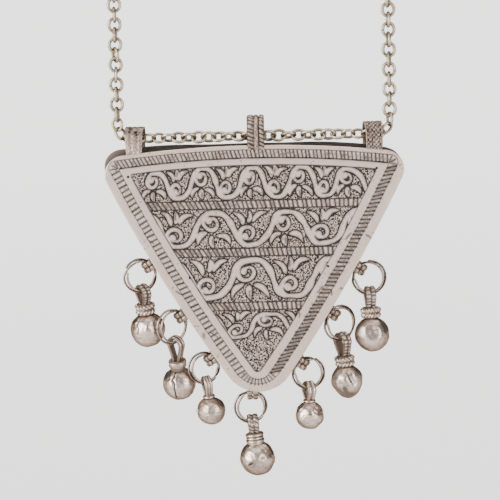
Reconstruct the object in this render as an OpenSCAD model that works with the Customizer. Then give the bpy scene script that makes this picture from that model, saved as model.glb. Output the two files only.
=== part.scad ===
// Triangular silver amulet case on a neck chain, with seven hollow ball drops on split rings.
// The origin is the middle of the chain at the nape. X is to the wearer's left, Y points back
// through the neck, Z is up, so the engraved front plate faces -Y.

/* [Case] */
// Width of the outline triangle at its two upper corners, before they are rounded
case_w = 95; // [90:0.5:100]
// Height of the outline triangle, from its upper corners down to its sharp tip
case_h = 79.4; // [74:0.1:84]
// How far the top edge bows upward
top_bow = 3.3; // [2:0.1:4]
// How far each slanting side bows outward
side_bow = 2.3; // [1:0.1:3]
// Rounding of the two upper corners
corner_r = 5.8; // [5:0.1:7]
// Rounding of the lower tip
tip_r = 11; // [10:0.1:13]
// Depth of the closed case, plate included
case_d = 9; // [8:0.1:11]
// Thickness of the engraved front plate
plate_t = 0.8; // [0.6:0.05:1]
// How far the plate stands proud of the side wall
plate_lip = 0.3; // [0.2:0.05:0.5]
// Thickness of the side wall and back sheet
wall_t = 0.7; // [0.5:0.05:0.9]
// Drop of the upper outline corners below the chain through the bails
case_drop = 5.6; // [5.5:0.1:6.5]

/* [Engraving] */
// Plain margin outside the hatched border
border_margin = 2.7; // [2:0.1:3.5]
// Width of the hatched border between its two lines
border_w = 2.2; // [1.5:0.1:3]
// Width of an engraved line
groove_w = 0.25; // [0.2:0.05:0.4]
// Depth of the engraved lines
groove_d = 0.12; // [0.05:0.01:0.2]
// Height of a hatched band across the plate, between its two lines
band_h = 2; // [1.5:0.1:2.5]
// Diameter of the five pin holes
pin_hole_d = 0.7; // [0.5:0.1:1]

/* [Bails] */
// Inner radius of the two outer bails
bail_r = 2.85; // [2.8:0.05:3.2]
// Thickness of the bail bands
bail_t = 0.8; // [0.6:0.05:0.9]
// Width of the outer bails along the chain
bail_w = 5.2; // [4.8:0.1:5.3]
// Inner radius of the tall middle bail
mid_bail_r = 3.9; // [3.9:0.05:4.2]
// Width of the middle bail
mid_bail_w = 5.2; // [4:0.1:6]
// Height of the middle bail's centre above the chain
mid_bail_rise = 1.4; // [1.2:0.05:1.45]

/* [Edge loops] */
// Width of a ribbed loop along the side wall
loop_w = 3; // [2.6:0.1:3.1]
// Clear height under a side loop, from the wall out
loop_h = 3.1; // [3.05:0.05:3.4]
// Clear height under the lowest loop
tip_loop_h = 2.7; // [2.65:0.05:3]
// Clear width under a loop, front to back
loop_clear = 4; // [3.9:0.1:4.4]
// Thickness of a loop's band
loop_t = 0.7; // [0.6:0.05:1]
// Place of the lowest loop across the tip
tip_loop_x = -2; // [-2.2:0.1:-1.8]

/* [Rings and drops] */
// Wire thickness of the double wound split rings
ring_wire = 0.9; // [0.8:0.05:1]
// Distance between the two turns of a split ring
ring_turn = 0.84; // [0.7:0.02:0.88]
// Thickness of the strip of a drop's bail
strip_t = 0.75; // [0.6:0.05:0.9]
// Inner radius at the top of a drop's bail
strip_r = 1.9; // [1.5:0.05:2]
// How far the top of a strip stays off the ring that carries it
strip_off = 0.55; // [0.5:0.05:0.7]
// Sheet thickness of the hollow balls
ball_t = 0.5; // [0.4:0.05:0.7]

/* [Chain] */
// Outer diameter of a round link
link_d = 4.6; // [4.5:0.05:4.7]
// Thickness of the link wire
link_wire = 0.75; // [0.7:0.01:0.8]
// Longest distance from the centre of one link to the next
link_step = 2.98; // [2.9:0.01:3]
// Distance of the left strand from the middle
strand_left = 40.5; // [40.5:0.1:42]
// Distance of the right strand from the middle
strand_right = 40.7; // [40.7:0.1:42]
// Radius of the turn from the bails up into a strand
turn_r = 4; // [3.8:0.1:5]
// Height from the chain through the bails up to the nape
hang = 190; // [180:1:200]
// Depth from the nape forward to the case
reach = 118; // [110:1:125]

/* [Hidden] */
$fn = 64;

silver = "#b9b1ab";
dark_silver = "#8f8680";
bright_silver = "#cdc6bd";
SIDE = 0;
WALL_Z = 1;
OUT = 2;
ALONG = 3;
YAW = 4;
RADIUS = 5;
BALL_R = 0;
BALL_DROP = 1;
COLLAR_TOP = 2;
COLLAR_END = 3;
COLLAR_R = 4;
STRIP_W = 5;
LEAN = 6;
TILT = 7;
LONGER = 8;
TURN = 9;

// Columns: side (-1 left, 0 tip, 1 right), height on the wall, ring centre out from the wall,
// ring centre along the wall, turn about the vertical, outer radius of the ring
rings = [
    [-1, -37.6, 5.80, 1.15, 18, 5.20],
    [-1, -53.1, 6.30, 0.67, 36, 5.40],
    [-1, -66.4, 5.20, 1.09, 14, 4.90],
    [0, 0, 5.87, -0.61, 10, 5.05],
    [1, -68.2, 5.37, 1.69, 8, 5.00],
    [1, -53.4, 5.78, 1.47, 30, 5.45],
    [1, -39.8, 5.92, 1.20, 8, 5.25]
];

// Columns: ball radius, ring centre to ball centre, ring centre to collar top, to collar end,
// collar radius, strip width, lean to the right, tilt to the back, how much longer the lower half
// is, turn of the drop about its own length
drops = [
    [5.25, 16.9, 8.7, 11.8, 3.0, 2.9, 7.5, 5, 0, 15],
    [5.00, 18.9, 11.1, 13.8, 2.7, 2.5, 11.8, 11, 0, 15],
    [4.30, 13.4, 8.4, 9.3, 1.6, 2.5, 7.8, 0, 0, 0],
    [5.30, 16.1, 8.2, 10.9, 2.7, 3.3, 5.9, 0, 0, -6],
    [4.30, 12.9, 8.1, 8.9, 1.6, 2.8, 0.4, 0, 0, 15],
    [4.75, 17.7, 10.3, 13.3, 3.0, 3.1, 6.5, 0, 1.0, 10],
    [5.25, 17.2, 9.1, 12.1, 3.05, 3.1, 1.5, -3, 0, 0]
];

// Pin holes in the plate: across from the middle, down from the chain through the bails
pin_holes = [[-37.6, -10.9], [36.4, -9.9], [-20.0, -41.8], [21.4, -39.2], [-0.6, -70.6]];

// One side of the chain round the neck, from the strand to the nape: across, back, up
neck_route = [
    [41, -118, -160],
    [41, -118, -132],
    [43, -112, -100],
    [50, -92, -68],
    [57, -62, -42],
    [55, -32, -22],
    [40, -10, -8],
    [20, -2, -2],
    [0, 0, 0],
    [-20, -2, -2]
];

// Middles of the three hatched bands, down from the chain through the bails
band_z = [-20.0, -34.4, -50.8];

// Places of the outer and middle bails across the case
bail_x = [-35.3, 35.5];
mid_bail_x = 0.6;

chain_y = -reach;
chain_z = -hang;
wall_front = -case_d / 2 + plate_t;
wall_back = case_d / 2;
sharp = [[-case_w / 2, -case_drop], [0, -case_drop - case_h], [case_w / 2, -case_drop]];
bows = [side_bow, side_bow, top_bow];
radii = [corner_r, tip_r, corner_r];

function unit(v) = v / norm(v);
function angle_of(v) = atan2(v.y, v.x);
function mod3(i) = (i + 3) % 3;

// A bowed edge between two corners is an arc: its radius and centre from the chord and the bow
function bow_radius(i) =
    let (c = norm(sharp[mod3(i + 1)] - sharp[mod3(i)]), b = bows[mod3(i)])
    (c * c / 4 + b * b) / (2 * b);
function bow_centre(i) =
    let (a = sharp[mod3(i)], b = sharp[mod3(i + 1)], d = unit(b - a))
    (a + b) / 2 + [-d.y, d.x] * (bow_radius(i) - bows[mod3(i)]);

// Where two circles meet, on the side that lies nearest to a given point
function circles_meet(o1, r1, o2, r2, near) =
    let (d = norm(o2 - o1), u = unit(o2 - o1),
         a = (d * d + r1 * r1 - r2 * r2) / (2 * d), h = sqrt(r1 * r1 - a * a),
         p = o1 + u * a + [-u.y, u.x] * h, q = o1 + u * a - [-u.y, u.x] * h)
    norm(p - near) < norm(q - near) ? p : q;
function corner_centre(i) =
    circles_meet(bow_centre(i - 1), bow_radius(i - 1) - radii[i],
                 bow_centre(i), bow_radius(i) - radii[i], sharp[i]);

function arc(c, r, a0, a1, steps) =
    let (turn = a1 < a0 ? a1 + 360 - a0 : a1 - a0)
    [for (k = [0:steps]) c + r * [cos(a0 + turn * k / steps), sin(a0 + turn * k / steps)]];

// The rounded and bowed outline, drawn in by an inset; arcs keep their centres
function corner_arc(i, inset) =
    arc(corner_centre(i), radii[i] - inset, angle_of(corner_centre(i) - bow_centre(i - 1)),
        angle_of(corner_centre(i) - bow_centre(i)), 12);
function edge_arc(i, inset) =
    let (p = arc(bow_centre(i), bow_radius(i) - inset,
                 angle_of(corner_centre(i) - bow_centre(i)),
                 angle_of(corner_centre(mod3(i + 1)) - bow_centre(i)), 10))
    [for (k = [1:9]) p[k]];
function outline(inset) = [for (i = [0:2]) each concat(corner_arc(i, inset), edge_arc(i, inset))];

module slab(inset, y0, y1)
    translate([0, y1, 0]) rotate([90, 0, 0]) linear_extrude(y1 - y0) polygon(outline(inset));

// A place on the side wall: the point and the direction straight out of the wall
function wall_point(side, z) =
    side == 0 ? corner_centre(1) + [tip_loop_x, -sqrt(pow(tip_r - plate_lip, 2) - pow(tip_loop_x, 2))] :
    let (r = bow_radius(1) - plate_lip, dz = z - bow_centre(1).y,
         x = bow_centre(1).x + sqrt(r * r - dz * dz) * sign(sharp[2].x - bow_centre(1).x))
    [side * x, z];
function wall_out(side, z) =
    side == 0 ? [0, -1] :
    let (p = wall_point(1, z), d = unit(p - bow_centre(1))) [side * d.x, d.y];
function wall_along(side, z) =
    let (n = wall_out(side, z)) side == 0 ? [1, 0] : [-side * abs(n.y), -abs(n.x)];
function opening(r) = r[SIDE] == 0 ? tip_loop_h : loop_h;
function ring_centre(r) =
    wall_point(r[SIDE], r[WALL_Z]) + wall_out(r[SIDE], r[WALL_Z]) * r[OUT]
    + wall_along(r[SIDE], r[WALL_Z]) * r[ALONG];

// Case: a shallow open box with its bails and edge loops soldered on
module bail_band(inner, t, w, rib, rib_x) {
    rotate([0, 90, 0]) rotate_extrude() {
        translate([inner, -w / 2]) square([t, w]);
        for (s = [-1, 1]) translate([inner + t - 0.1, s * rib_x]) circle(d = rib, $fn = 24);
    }
}

module outer_bail(x) {
    foot_top = -(bail_r + bail_t / 2);
    difference() {
        union() {
            translate([x, 0, 0]) bail_band(bail_r, bail_t, bail_w, 0.5, bail_w / 2 - 0.5);
            translate([x - bail_w / 2 + 0.3, -1.8, foot_top - 2])
                cube([bail_w - 0.6, 3.6, 2]);
        }
        translate([x - bail_w, 0, 0]) rotate([0, 90, 0]) cylinder(r = bail_r, h = 2 * bail_w);
    }
}

module middle_bail() {
    translate([mid_bail_x, 0, mid_bail_rise])
        bail_band(mid_bail_r, 0.4, mid_bail_w, 0.7, mid_bail_w / 2 - 0.7);
}

module loop_row(w, t, h) {
    arch_r = loop_clear / 2;
    straight = h - arch_r;
    linear_extrude(w, center = true) difference() {
        union() {
            translate([0, straight]) circle(r = arch_r + t);
            translate([-arch_r - t, -0.5]) square([2 * (arch_r + t), straight + 0.5]);
        }
        translate([0, straight]) circle(r = arch_r);
        translate([-arch_r, -1]) square([2 * arch_r, straight + 1]);
    }
}

// A ribbed loop stands out of the wall as an arch across the depth of the case
module edge_loop(r) {
    p = wall_point(r[SIDE], r[WALL_Z]);
    n = wall_out(r[SIDE], r[WALL_Z]);
    row_w = (loop_w - 0.2) / 2;
    translate([p.x, 0, p.y]) rotate([0, -angle_of(n) + 90, 0]) rotate([90, 0, 90]) {
        for (s = [-1, 1]) translate([0, 0, s * (row_w + 0.2) / 2]) loop_row(row_w, loop_t, opening(r));
        loop_row(loop_w - 0.4, loop_t - 0.3, opening(r));
    }
}

module case_shell() {
    difference() {
        union() {
            slab(plate_lip, wall_front, wall_back);
            for (x = bail_x) outer_bail(x);
            middle_bail();
            for (r = rings) edge_loop(r);
        }
        slab(plate_lip + wall_t, wall_front - 1, wall_back - wall_t);
    }
}

module amulet_case() {
    color(dark_silver) translate([0, chain_y, chain_z]) case_shell();
}

// Front plate: a sheet with the two lines of the border and the three bands cut into it
module line_ring(inset)
    difference() {
        polygon(outline(inset));
        polygon(outline(inset + groove_w));
    }

module band_lines() {
    inner_margin = 2;
    intersection() {
        polygon(outline(border_margin + border_w + inner_margin));
        for (z = band_z, s = [-1, 1])
            translate([-case_w / 2, z + s * band_h / 2 - groove_w / 2]) square([case_w, groove_w]);
    }
}

module front_plate() {
    color(silver) translate([0, chain_y, chain_z]) difference() {
        slab(0, -case_d / 2, wall_front);
        translate([0, -case_d / 2 + groove_d, 0]) rotate([90, 0, 0]) linear_extrude(1) {
            line_ring(border_margin);
            line_ring(border_margin + border_w);
            band_lines();
        }
        for (p = pin_holes) translate([p.x, 0, p.y]) rotate([90, 0, 0])
            cylinder(d = pin_hole_d, h = case_d, $fn = 24);
    }
}

// Rings and drops share one place: the ring's centre, turned with the ring
module at_ring(r) {
    c = ring_centre(r);
    p = wall_point(r[SIDE], r[WALL_Z]);
    n = wall_out(r[SIDE], r[WALL_Z]);
    pivot = p + n * (opening(r) / 2);
    translate([pivot.x, chain_y, chain_z + pivot.y]) rotate([0, 0, r[YAW]])
        translate([c.x - pivot.x, 0, c.y - pivot.y]) children();
}

module split_ring(outer_r) {
    rotate([90, 0, 0]) rotate_extrude() translate([outer_r - ring_wire / 2, 0])
        for (s = [-1, 1]) translate([0, s * ring_turn / 2]) circle(d = ring_wire, $fn = 32);
}

module jump_ring(i) {
    color(bright_silver) at_ring(rings[i]) split_ring(rings[i][RADIUS]);
}

// A strip bent round the ring into a drop shape, its legs closing on the collar
module strip_row(w, t, top, bottom) {
    zc = top - strip_r;
    foot = 0.8;
    rotate([90, 0, 90]) linear_extrude(w, center = true) difference() {
        union() {
            translate([0, zc]) circle(r = strip_r + t);
            polygon([[-strip_r - t, zc], [-foot - t, bottom], [foot + t, bottom], [strip_r + t, zc]]);
        }
        translate([0, zc]) circle(r = strip_r);
        polygon([[-strip_r, zc], [-0.2, bottom + 0.9], [0.2, bottom + 0.9], [strip_r, zc]]);
    }
}

module drop_bail(w, top, bottom) {
    row_w = (w - 0.2) / 2;
    for (s = [-1, 1]) translate([s * (row_w + 0.2) / 2, 0, 0]) strip_row(row_w, strip_t, top, bottom);
    strip_row(w - 0.4, strip_t - 0.25, top, bottom);
}

// Collar of two wound rings round a short neck
module collar(r, z_top, z_end, z_ball) {
    h = z_top - z_end;
    turn = h / 2;
    rotate_extrude() {
        translate([0, z_ball]) square([r * 0.8, z_top - z_ball]);
        for (k = [0, 1]) translate([r - turn / 2, z_end + turn * (k + 0.5)])
            circle(d = turn * 1.02, $fn = 32);
    }
}

// A hollow ball; a drawn-out one is longer and a little narrower below its middle
function ball_outline(r, longer, sheet) =
    [for (k = [0:32]) let (a = k * 180 / 32, low = max(0, -cos(a)))
        [(r - sheet) * sin(a) * (1 - 0.1 * longer * low),
         (r - sheet) * cos(a) - longer * low]];

module ball(r, longer) {
    if (longer > 0) difference() {
        rotate_extrude() polygon(ball_outline(r, longer, 0));
        rotate_extrude() polygon(ball_outline(r, longer, ball_t));
    }
    else difference() {
        sphere(r = r);
        sphere(r = r - ball_t);
    }
}

// The strip's ends rest on the ring first, because the ring curves up beside its lowest place
module ball_drop(i) {
    r = rings[i];
    d = drops[i];
    inner_r = r[RADIUS] - ring_wire;
    wire_z = -(r[RADIUS] - ring_wire / 2);
    strip_top = strip_off - sqrt(pow(inner_r, 2) - pow(d[STRIP_W] / 2, 2));
    ball_top = -d[BALL_DROP] + d[BALL_R];
    color(silver) at_ring(r) rotate([0, -d[LEAN], 0])
        translate([0, 0, wire_z]) rotate([d[TILT], 0, 0]) translate([0, 0, -wire_z])
        rotate([0, 0, d[TURN]]) {
            drop_bail(d[STRIP_W], strip_top, -d[COLLAR_TOP] - 0.2);
            collar(d[COLLAR_R], -d[COLLAR_TOP], -d[COLLAR_END], ball_top - ball_t);
            translate([0, 0, -d[BALL_DROP]]) ball(d[BALL_R], d[LONGER]);
        }
}

// Chain: the closed route of link centres, one half at a time from the bails to the nape
function spline(p, k, t) =
    0.5 * (2 * p[k] + (p[k + 1] - p[k - 1]) * t
           + (2 * p[k - 1] - 5 * p[k] + 4 * p[k + 1] - p[k + 2]) * t * t
           + (3 * p[k] - p[k - 1] - 3 * p[k + 1] + p[k + 2]) * t * t * t);
function neck_half() =
    [for (k = [1:len(neck_route) - 3], j = [0:11]) spline(neck_route, k, j / 12)];
function turn_points(x) =
    [for (k = [0:8]) [x - turn_r + turn_r * sin(k * 90 / 8), chain_y,
                      chain_z + turn_r - turn_r * cos(k * 90 / 8)]];
function half_route(x) =
    let (shift = x - neck_route[0].x)
    concat(turn_points(x),
           [for (p = neck_half()) [p.x + shift * lookup(p.z, [[-100, 1], [-20, 0]]), p.y, p.z]]);
function mirrored(points) =
    [for (k = [len(points) - 1:-1:0]) [-points[k].x, points[k].y, points[k].z]];
route = concat([[0, chain_y, chain_z]], half_route(strand_right), [[0, 0, 0]],
               mirrored(half_route(strand_left)), [[0, chain_y, chain_z]]);

// Distance along the route at each of its points
route_s = [for (k = 0, s = 0; k < len(route);
                s = s + (k + 1 < len(route) ? norm(route[k + 1] - route[k]) : 0), k = k + 1) s];
route_length = route_s[len(route_s) - 1];
route_x = [for (k = [0:len(route) - 1]) [route_s[k], route[k].x]];
route_y = [for (k = [0:len(route) - 1]) [route_s[k], route[k].y]];
route_z = [for (k = [0:len(route) - 1]) [route_s[k], route[k].z]];
function wrap(s) = s < 0 ? s + route_length : s > route_length ? s - route_length : s;
function on_route(s) =
    let (w = wrap(s)) [lookup(w, route_x), lookup(w, route_y), lookup(w, route_z)];

// Links lie at 45 degrees through the bails and turn to lie flat and upright in the strands.
// Each link also rolls a little its own way, as loose links do.
turned_run = 39;
turn_back_run = 10;
link_roll = 5;
link_count = 2 * ceil(route_length / link_step / 2);
step = route_length / link_count;
function link_twist(s) =
    let (d = min(s, route_length - s))
    45 * lookup(d, [[turned_run, 1], [turned_run + turn_back_run, 0]]);

module link() {
    rotate_extrude() translate([(link_d - link_wire) / 2, 0]) circle(d = link_wire, $fn = 24);
}

module placed_link(i) {
    s = (i + 0.5) * step;
    p = on_route(s);
    t = unit(on_route(s + step / 3) - on_route(s - step / 3));
    roll = link_twist(s) + 90 * (i % 2) + link_roll * sin(i * 67);
    translate(p) rotate([0, -atan2(t.z, t.x), 0]) rotate([0, 0, asin(t.y)]) rotate([roll, 0, 0])
        link();
}

module neck_chain() {
    color(bright_silver) for (i = [0:link_count - 1]) placed_link(i);
}

neck_chain();
amulet_case();
front_plate();
jump_ring(0);  // jump_ring_1
jump_ring(1);  // jump_ring_2
jump_ring(2);  // jump_ring_3
jump_ring(3);  // jump_ring_4
jump_ring(4);  // jump_ring_5
jump_ring(5);  // jump_ring_6
jump_ring(6);  // jump_ring_7
ball_drop(0);  // ball_drop_1
ball_drop(1);  // ball_drop_2
ball_drop(2);  // ball_drop_3
ball_drop(3);  // ball_drop_4
ball_drop(4);  // ball_drop_5
ball_drop(5);  // ball_drop_6
ball_drop(6);  // ball_drop_7
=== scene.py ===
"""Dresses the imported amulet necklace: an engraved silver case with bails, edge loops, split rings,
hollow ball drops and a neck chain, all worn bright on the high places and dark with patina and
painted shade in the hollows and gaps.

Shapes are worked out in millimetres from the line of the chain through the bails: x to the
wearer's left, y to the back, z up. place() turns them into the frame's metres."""

import math
from functools import partial, partialmethod
from types import SimpleNamespace

import bmesh
import bpy
import numpy as np
from bpy.props import FloatProperty, FloatVectorProperty, IntProperty, PointerProperty
from bpy.types import Operator, Panel, PropertyGroup
from mathutils import Matrix, Vector
from mathutils.geometry import delaunay_2d_cdt


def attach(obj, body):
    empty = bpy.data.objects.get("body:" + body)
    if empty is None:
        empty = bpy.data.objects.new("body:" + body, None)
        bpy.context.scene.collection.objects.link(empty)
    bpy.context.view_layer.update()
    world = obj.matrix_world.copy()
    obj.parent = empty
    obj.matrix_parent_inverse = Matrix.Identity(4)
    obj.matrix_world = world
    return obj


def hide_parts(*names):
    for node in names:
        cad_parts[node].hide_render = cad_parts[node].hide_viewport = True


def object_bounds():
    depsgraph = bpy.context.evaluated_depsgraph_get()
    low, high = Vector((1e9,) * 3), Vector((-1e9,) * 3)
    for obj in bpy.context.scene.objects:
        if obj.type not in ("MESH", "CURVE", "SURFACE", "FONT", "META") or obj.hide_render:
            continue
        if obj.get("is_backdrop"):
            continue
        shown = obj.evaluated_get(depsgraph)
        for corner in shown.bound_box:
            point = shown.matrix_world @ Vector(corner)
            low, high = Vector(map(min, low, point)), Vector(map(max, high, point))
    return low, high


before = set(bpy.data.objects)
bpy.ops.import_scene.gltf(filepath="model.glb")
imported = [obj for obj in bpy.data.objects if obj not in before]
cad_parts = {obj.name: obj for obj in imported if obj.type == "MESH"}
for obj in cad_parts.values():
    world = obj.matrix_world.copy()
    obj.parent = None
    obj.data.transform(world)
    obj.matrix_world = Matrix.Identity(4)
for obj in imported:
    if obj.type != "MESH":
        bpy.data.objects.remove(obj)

bl_info = {
    "name": "Silver amulet necklace",
    "version": (1, 0, 0),
    "blender": (4, 5, 0),
    "location": "3D View > Sidebar > Necklace",
    "description": "Builds the worn silver pieces of a triangular amulet necklace, and its studio",
    "category": "Object",
}

MM = 0.001
CHAIN_LINE = np.array([0.0, -118.0, -190.0])
SMALL, FAR = 1e-9, 9.0
TAU = 2 * math.pi

# The solids' own sizes, in millimetres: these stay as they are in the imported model.
CASE_W, CASE_H, CASE_DROP = 95.0, 79.4, 5.6
SIDE_BOW, TOP_BOW = 2.3, 3.3
CORNER_R, TIP_R = 5.8, 11.0
CASE_FRONT, PLATE_BACK, CASE_BACK = -4.5, -3.7, 4.5
PLATE_LIP, WALL_T = 0.3, 0.7
PIN_HOLE_R = 0.35
PIN_HOLES = [(-37.6, -10.9), (36.4, -9.9), (-20.0, -41.8), (21.4, -39.2), (-0.6, -70.6)]
BAND_Z, BAND_HALF = (-20.0, -34.4, -50.8), 1.18
BAIL_R, BAIL_T, BAIL_W = 2.85, 0.8, 5.2
LEFT_BAIL_X, RIGHT_BAIL_X, MIDDLE_BAIL_X = -35.3, 35.5, 0.6
MIDDLE_BAIL_R, MIDDLE_BAIL_W, MIDDLE_BAIL_RISE = 3.9, 5.2, 1.4
LOOP_W, LOOP_H, TIP_LOOP_H, LOOP_CLEAR, LOOP_T, TIP_LOOP_X = 3.0, 3.1, 2.7, 4.0, 0.7, -2.0
RING_WIRE, RING_TURN = 0.9, 0.84
STRIP_T, STRIP_R, STRIP_OFF = 0.75, 1.9, 0.55
LINK_WIRE, LINK_STEP = 0.75, 2.98
STRAND_LEFT, STRAND_RIGHT, TURN_R, HANG, REACH = 40.5, 40.7, 4.0, 190.0, 118.0
TURNED_RUN, TURN_BACK_RUN, LINK_ROLL = 39.0, 10.0, 5.0
NECK_ROUTE = [
    (41, -118, -160), (41, -118, -132), (43, -112, -100), (50, -92, -68), (57, -62, -42),
    (55, -32, -22), (40, -10, -8), (20, -2, -2), (0, 0, 0), (-20, -2, -2),
]

# The drawn links: half length and half width of the wire's middle, and the wire's radius. Those
# within IN_BAIL of an outer bail are drawn smaller and straight, so that the bail swings past.
LINK_HALF_LONG, LINK_HALF_WIDE, LINK_WIRE_R = 1.99, 1.70, 0.49
IN_BAIL, IN_BAIL_SIZE, LINK_LOOSENESS = 7.5, 0.92, (3, 4, 10)
LINK_AROUND, LINK_SIDES = 30, 10

# The plate's lines run inside these distances from its left, right and top edges, with these
# corners, and are this broad on each side. The ladder's strokes lie on LADDER.
BORDER = ((2.65, 2.95, 1.25), (1.9, 7.8, 2.2)), (0.6, 0.6, 0.65)
RAIL = ((5.15, 5.4, 3.7), (0.5, 3.8, 0.5)), (0.6, 0.6, 1.15)
FIELD = ((7.5, 8.0, 5.9), (0.5, 1.3, 0.5)), (0.85, 0.7, 0.9)
LADDER = (3.9, 4.18, 2.475), (1.2, 5.7, 1.35)
# Of the ladder on each side: its width, how far apart its strokes are and how broad they are.
LADDER_SIDES = ((2.5, 1.42, 1.4), (2.45, 1.23, 1.8), (2.45, 1.06, 1.15))
# Each field of the plate: how many hollows its vine fills, and how stout it is.
VINES = ((7, 0.92), (5, 1.05), (3, 1.12), (2, 0.82))
TIP_FIELD_H = 8.5
GRID_LOW, GRID_HIGH = (-50.0, -84.0), (50.0, -1.0)

# Each ring: side (-1 left, 0 tip, 1 right), height on the wall, centre out from the wall and
# along it, turn about the vertical, outer radius, and where its wire's cut ends show.
RINGS = [
    (-1, -37.6, 5.80, 1.15, 18, 5.20, 156),
    (-1, -53.1, 6.30, 0.67, 36, 5.40, 80),
    (-1, -66.4, 5.20, 1.09, 14, 4.90, -35),
    (0, 0.0, 5.87, -0.61, 10, 5.05, -35),
    (1, -68.2, 5.37, 1.69, 8, 5.00, 70),
    (1, -53.4, 5.78, 1.47, 30, 5.45, -30),
    (1, -39.8, 5.92, 1.20, 8, 5.25, 100),
]

# Each drop: ball radius, ring centre to ball centre, to collar top, to collar end, collar radius,
# strip width, lean to the right, tilt to the back, how much longer the lower half is, and its turn
# about its own length.
DROPS = [
    (5.25, 16.9, 8.7, 11.8, 3.0, 2.9, 7.5, 5, 0, 15),
    (5.00, 18.9, 11.1, 13.8, 2.7, 2.5, 11.8, 11, 0, 15),
    (4.30, 13.4, 8.4, 9.3, 1.6, 2.5, 7.8, 0, 0, 0),
    (5.30, 16.1, 8.2, 10.9, 2.7, 3.3, 5.9, 0, 0, -6),
    (4.30, 12.9, 8.1, 8.9, 1.6, 2.8, 0.4, 0, 0, 15),
    (4.75, 17.7, 10.3, 13.3, 3.0, 3.1, 6.5, 0, 1.0, 10),
    (5.25, 17.2, 9.1, 12.1, 3.05, 3.1, 1.5, -3, 0, 0),
]

# The marks on each ball, placed across and up as the viewer sees it, in radii. dent: place, size,
# depth, darkness. crack: the line's places, width, depth, darkness. stain: place, size,
# darkness, for tarnish stains and painted shade, most of them low on the sides.
BALL_MARKS = [
    [("dent", 0.42, 0.30, 0.34, 0.18, 0.1), ("dent", -0.30, 0.15, 0.28, 0.12, 0.1),
     ("crack", [(-0.62, 0.35), (-0.5, 0.05), (-0.58, -0.3)], 0.035, 0.16, 0.9),
     ("dent", -0.42, -0.52, 0.09, 0.22, 1.0), ("dent", -0.2, -0.62, 0.07, 0.18, 1.0),
     ("stain", -0.75, -0.35, 0.5, 0.35)],
    [("crack", [(-0.1, 0.95), (-0.2, 0.66), (-0.3, 0.42), (-0.42, 0.2), (-0.3, 0.05),
                (-0.3, -0.25), (-0.24, -0.6), (-0.16, -0.95)], 0.05, 0.34, 1.0),
     ("crack", [(-0.12, 0.8), (-0.16, 0.3), (-0.14, -0.2), (-0.1, -0.7)], 0.16, -0.14, 0.0),
     ("stain", 0.55, -0.55, 0.45, 0.3)],
    [("dent", -0.97, 0.05, 0.17, -0.5, 0.0), ("dent", 0.1, 0.0, 0.3, 0.1, 0.1),
     ("stain", 0.5, -0.55, 0.45, 0.3), ("crack", [(0.12, 0.4), (0.1, -0.1)], 0.03, 0.06, 0.5),
     ("crack", [(0.24, 0.3), (0.22, -0.2)], 0.03, 0.05, 0.4)],
    [("dent", 0.26, 0.06, 0.2, 0.2, 0.12), ("dent", 0.24, 0.04, 0.07, 0.1, 0.95),
     ("dent", -0.4, -0.3, 0.15, 0.26, 0.95), ("dent", -0.12, 0.5, 0.3, 0.1, 0.0),
     ("crack", [(-0.5, -0.36), (-0.3, -0.26)], 0.06, 0.2, 1.0),
     ("stain", -0.35, -0.3, 0.3, 0.55), ("stain", 0.7, -0.45, 0.4, 0.4)],
    [("dent", 0.02, 0.3, 0.16, 0.07, 0.2), ("dent", 0.36, 0.0, 0.07, 0.05, 0.5),
     ("dent", 0.02, -0.12, 0.05, 0.05, 0.6), ("stain", -0.5, -0.55, 0.4, 0.35)],
    [("crack", [(0.02, 0.52), (0.2, 0.18), (0.44, -0.24)], 0.17, 0.42, 0.12),
     ("crack", [(0.02, 0.42), (0.13, 0.12), (0.3, -0.16)], 0.05, 0.16, 0.8),
     ("dent", -0.46, -0.2, 0.3, 0.3, 0.15), ("dent", -0.44, -0.22, 0.08, 0.1, 0.5),
     ("dent", 0.02, -0.34, 0.08, 0.12, 0.9), ("stain", -0.1, -0.85, 0.7, 0.8),
     ("stain", -0.6, 0.45, 0.35, 0.45), ("stain", 0.8, 0.35, 0.3, 0.35)],
    [("dent", 0.02, 0.12, 0.5, 0.34, 0.0), ("dent", 0.5, -0.35, 0.2, 0.12, 0.2),
     ("crack", [(-0.3, 0.3), (0.0, 0.24), (0.34, 0.3)], 0.022, 0.06, 0.9),
     ("crack", [(-0.2, 0.0), (0.12, -0.06), (0.3, -0.02)], 0.02, 0.05, 0.9),
     ("stain", -0.65, -0.45, 0.4, 0.4)],
]


# Small tools


def place(points):
    """Case coordinates in millimetres, as metres in the frame."""
    return (np.asarray(points, float) + CHAIN_LINE) * MM


def in_mm(metres):
    return metres / MM


def unit(v):
    v = np.asarray(v, float)
    return v / np.maximum(np.linalg.norm(v, axis=-1, keepdims=True), SMALL)


def soft_step(low, high, value):
    t = np.clip((np.asarray(value, float) - low) / (high - low), 0.0, 1.0)
    return t * t * (3.0 - 2.0 * t)


def waves(points, size, seed, count=8):
    """Smooth unevenness between about -1 and 1, with bumps of the given size."""
    points = np.asarray(points, float)
    rng = np.random.default_rng(seed)
    directions = unit(rng.normal(size=(count, points.shape[-1])))
    rates = TAU / size * rng.uniform(0.6, 1.5, count)
    starts = rng.uniform(0, TAU, count)
    return np.sin(points @ directions.T * rates + starts).sum(-1) / math.sqrt(count)


def about(axis, degrees):
    return np.array(Matrix.Rotation(math.radians(degrees), 3, axis))


def all_round(count):
    return np.linspace(0, TAU, count, endpoint=False)


def circle(angles):
    return np.column_stack([np.cos(angles), np.sin(angles)])


def run_along(line):
    """How far along the line each of its points lies."""
    return np.concatenate([[0], np.cumsum(np.linalg.norm(np.diff(line, axis=0), axis=1))])


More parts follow.
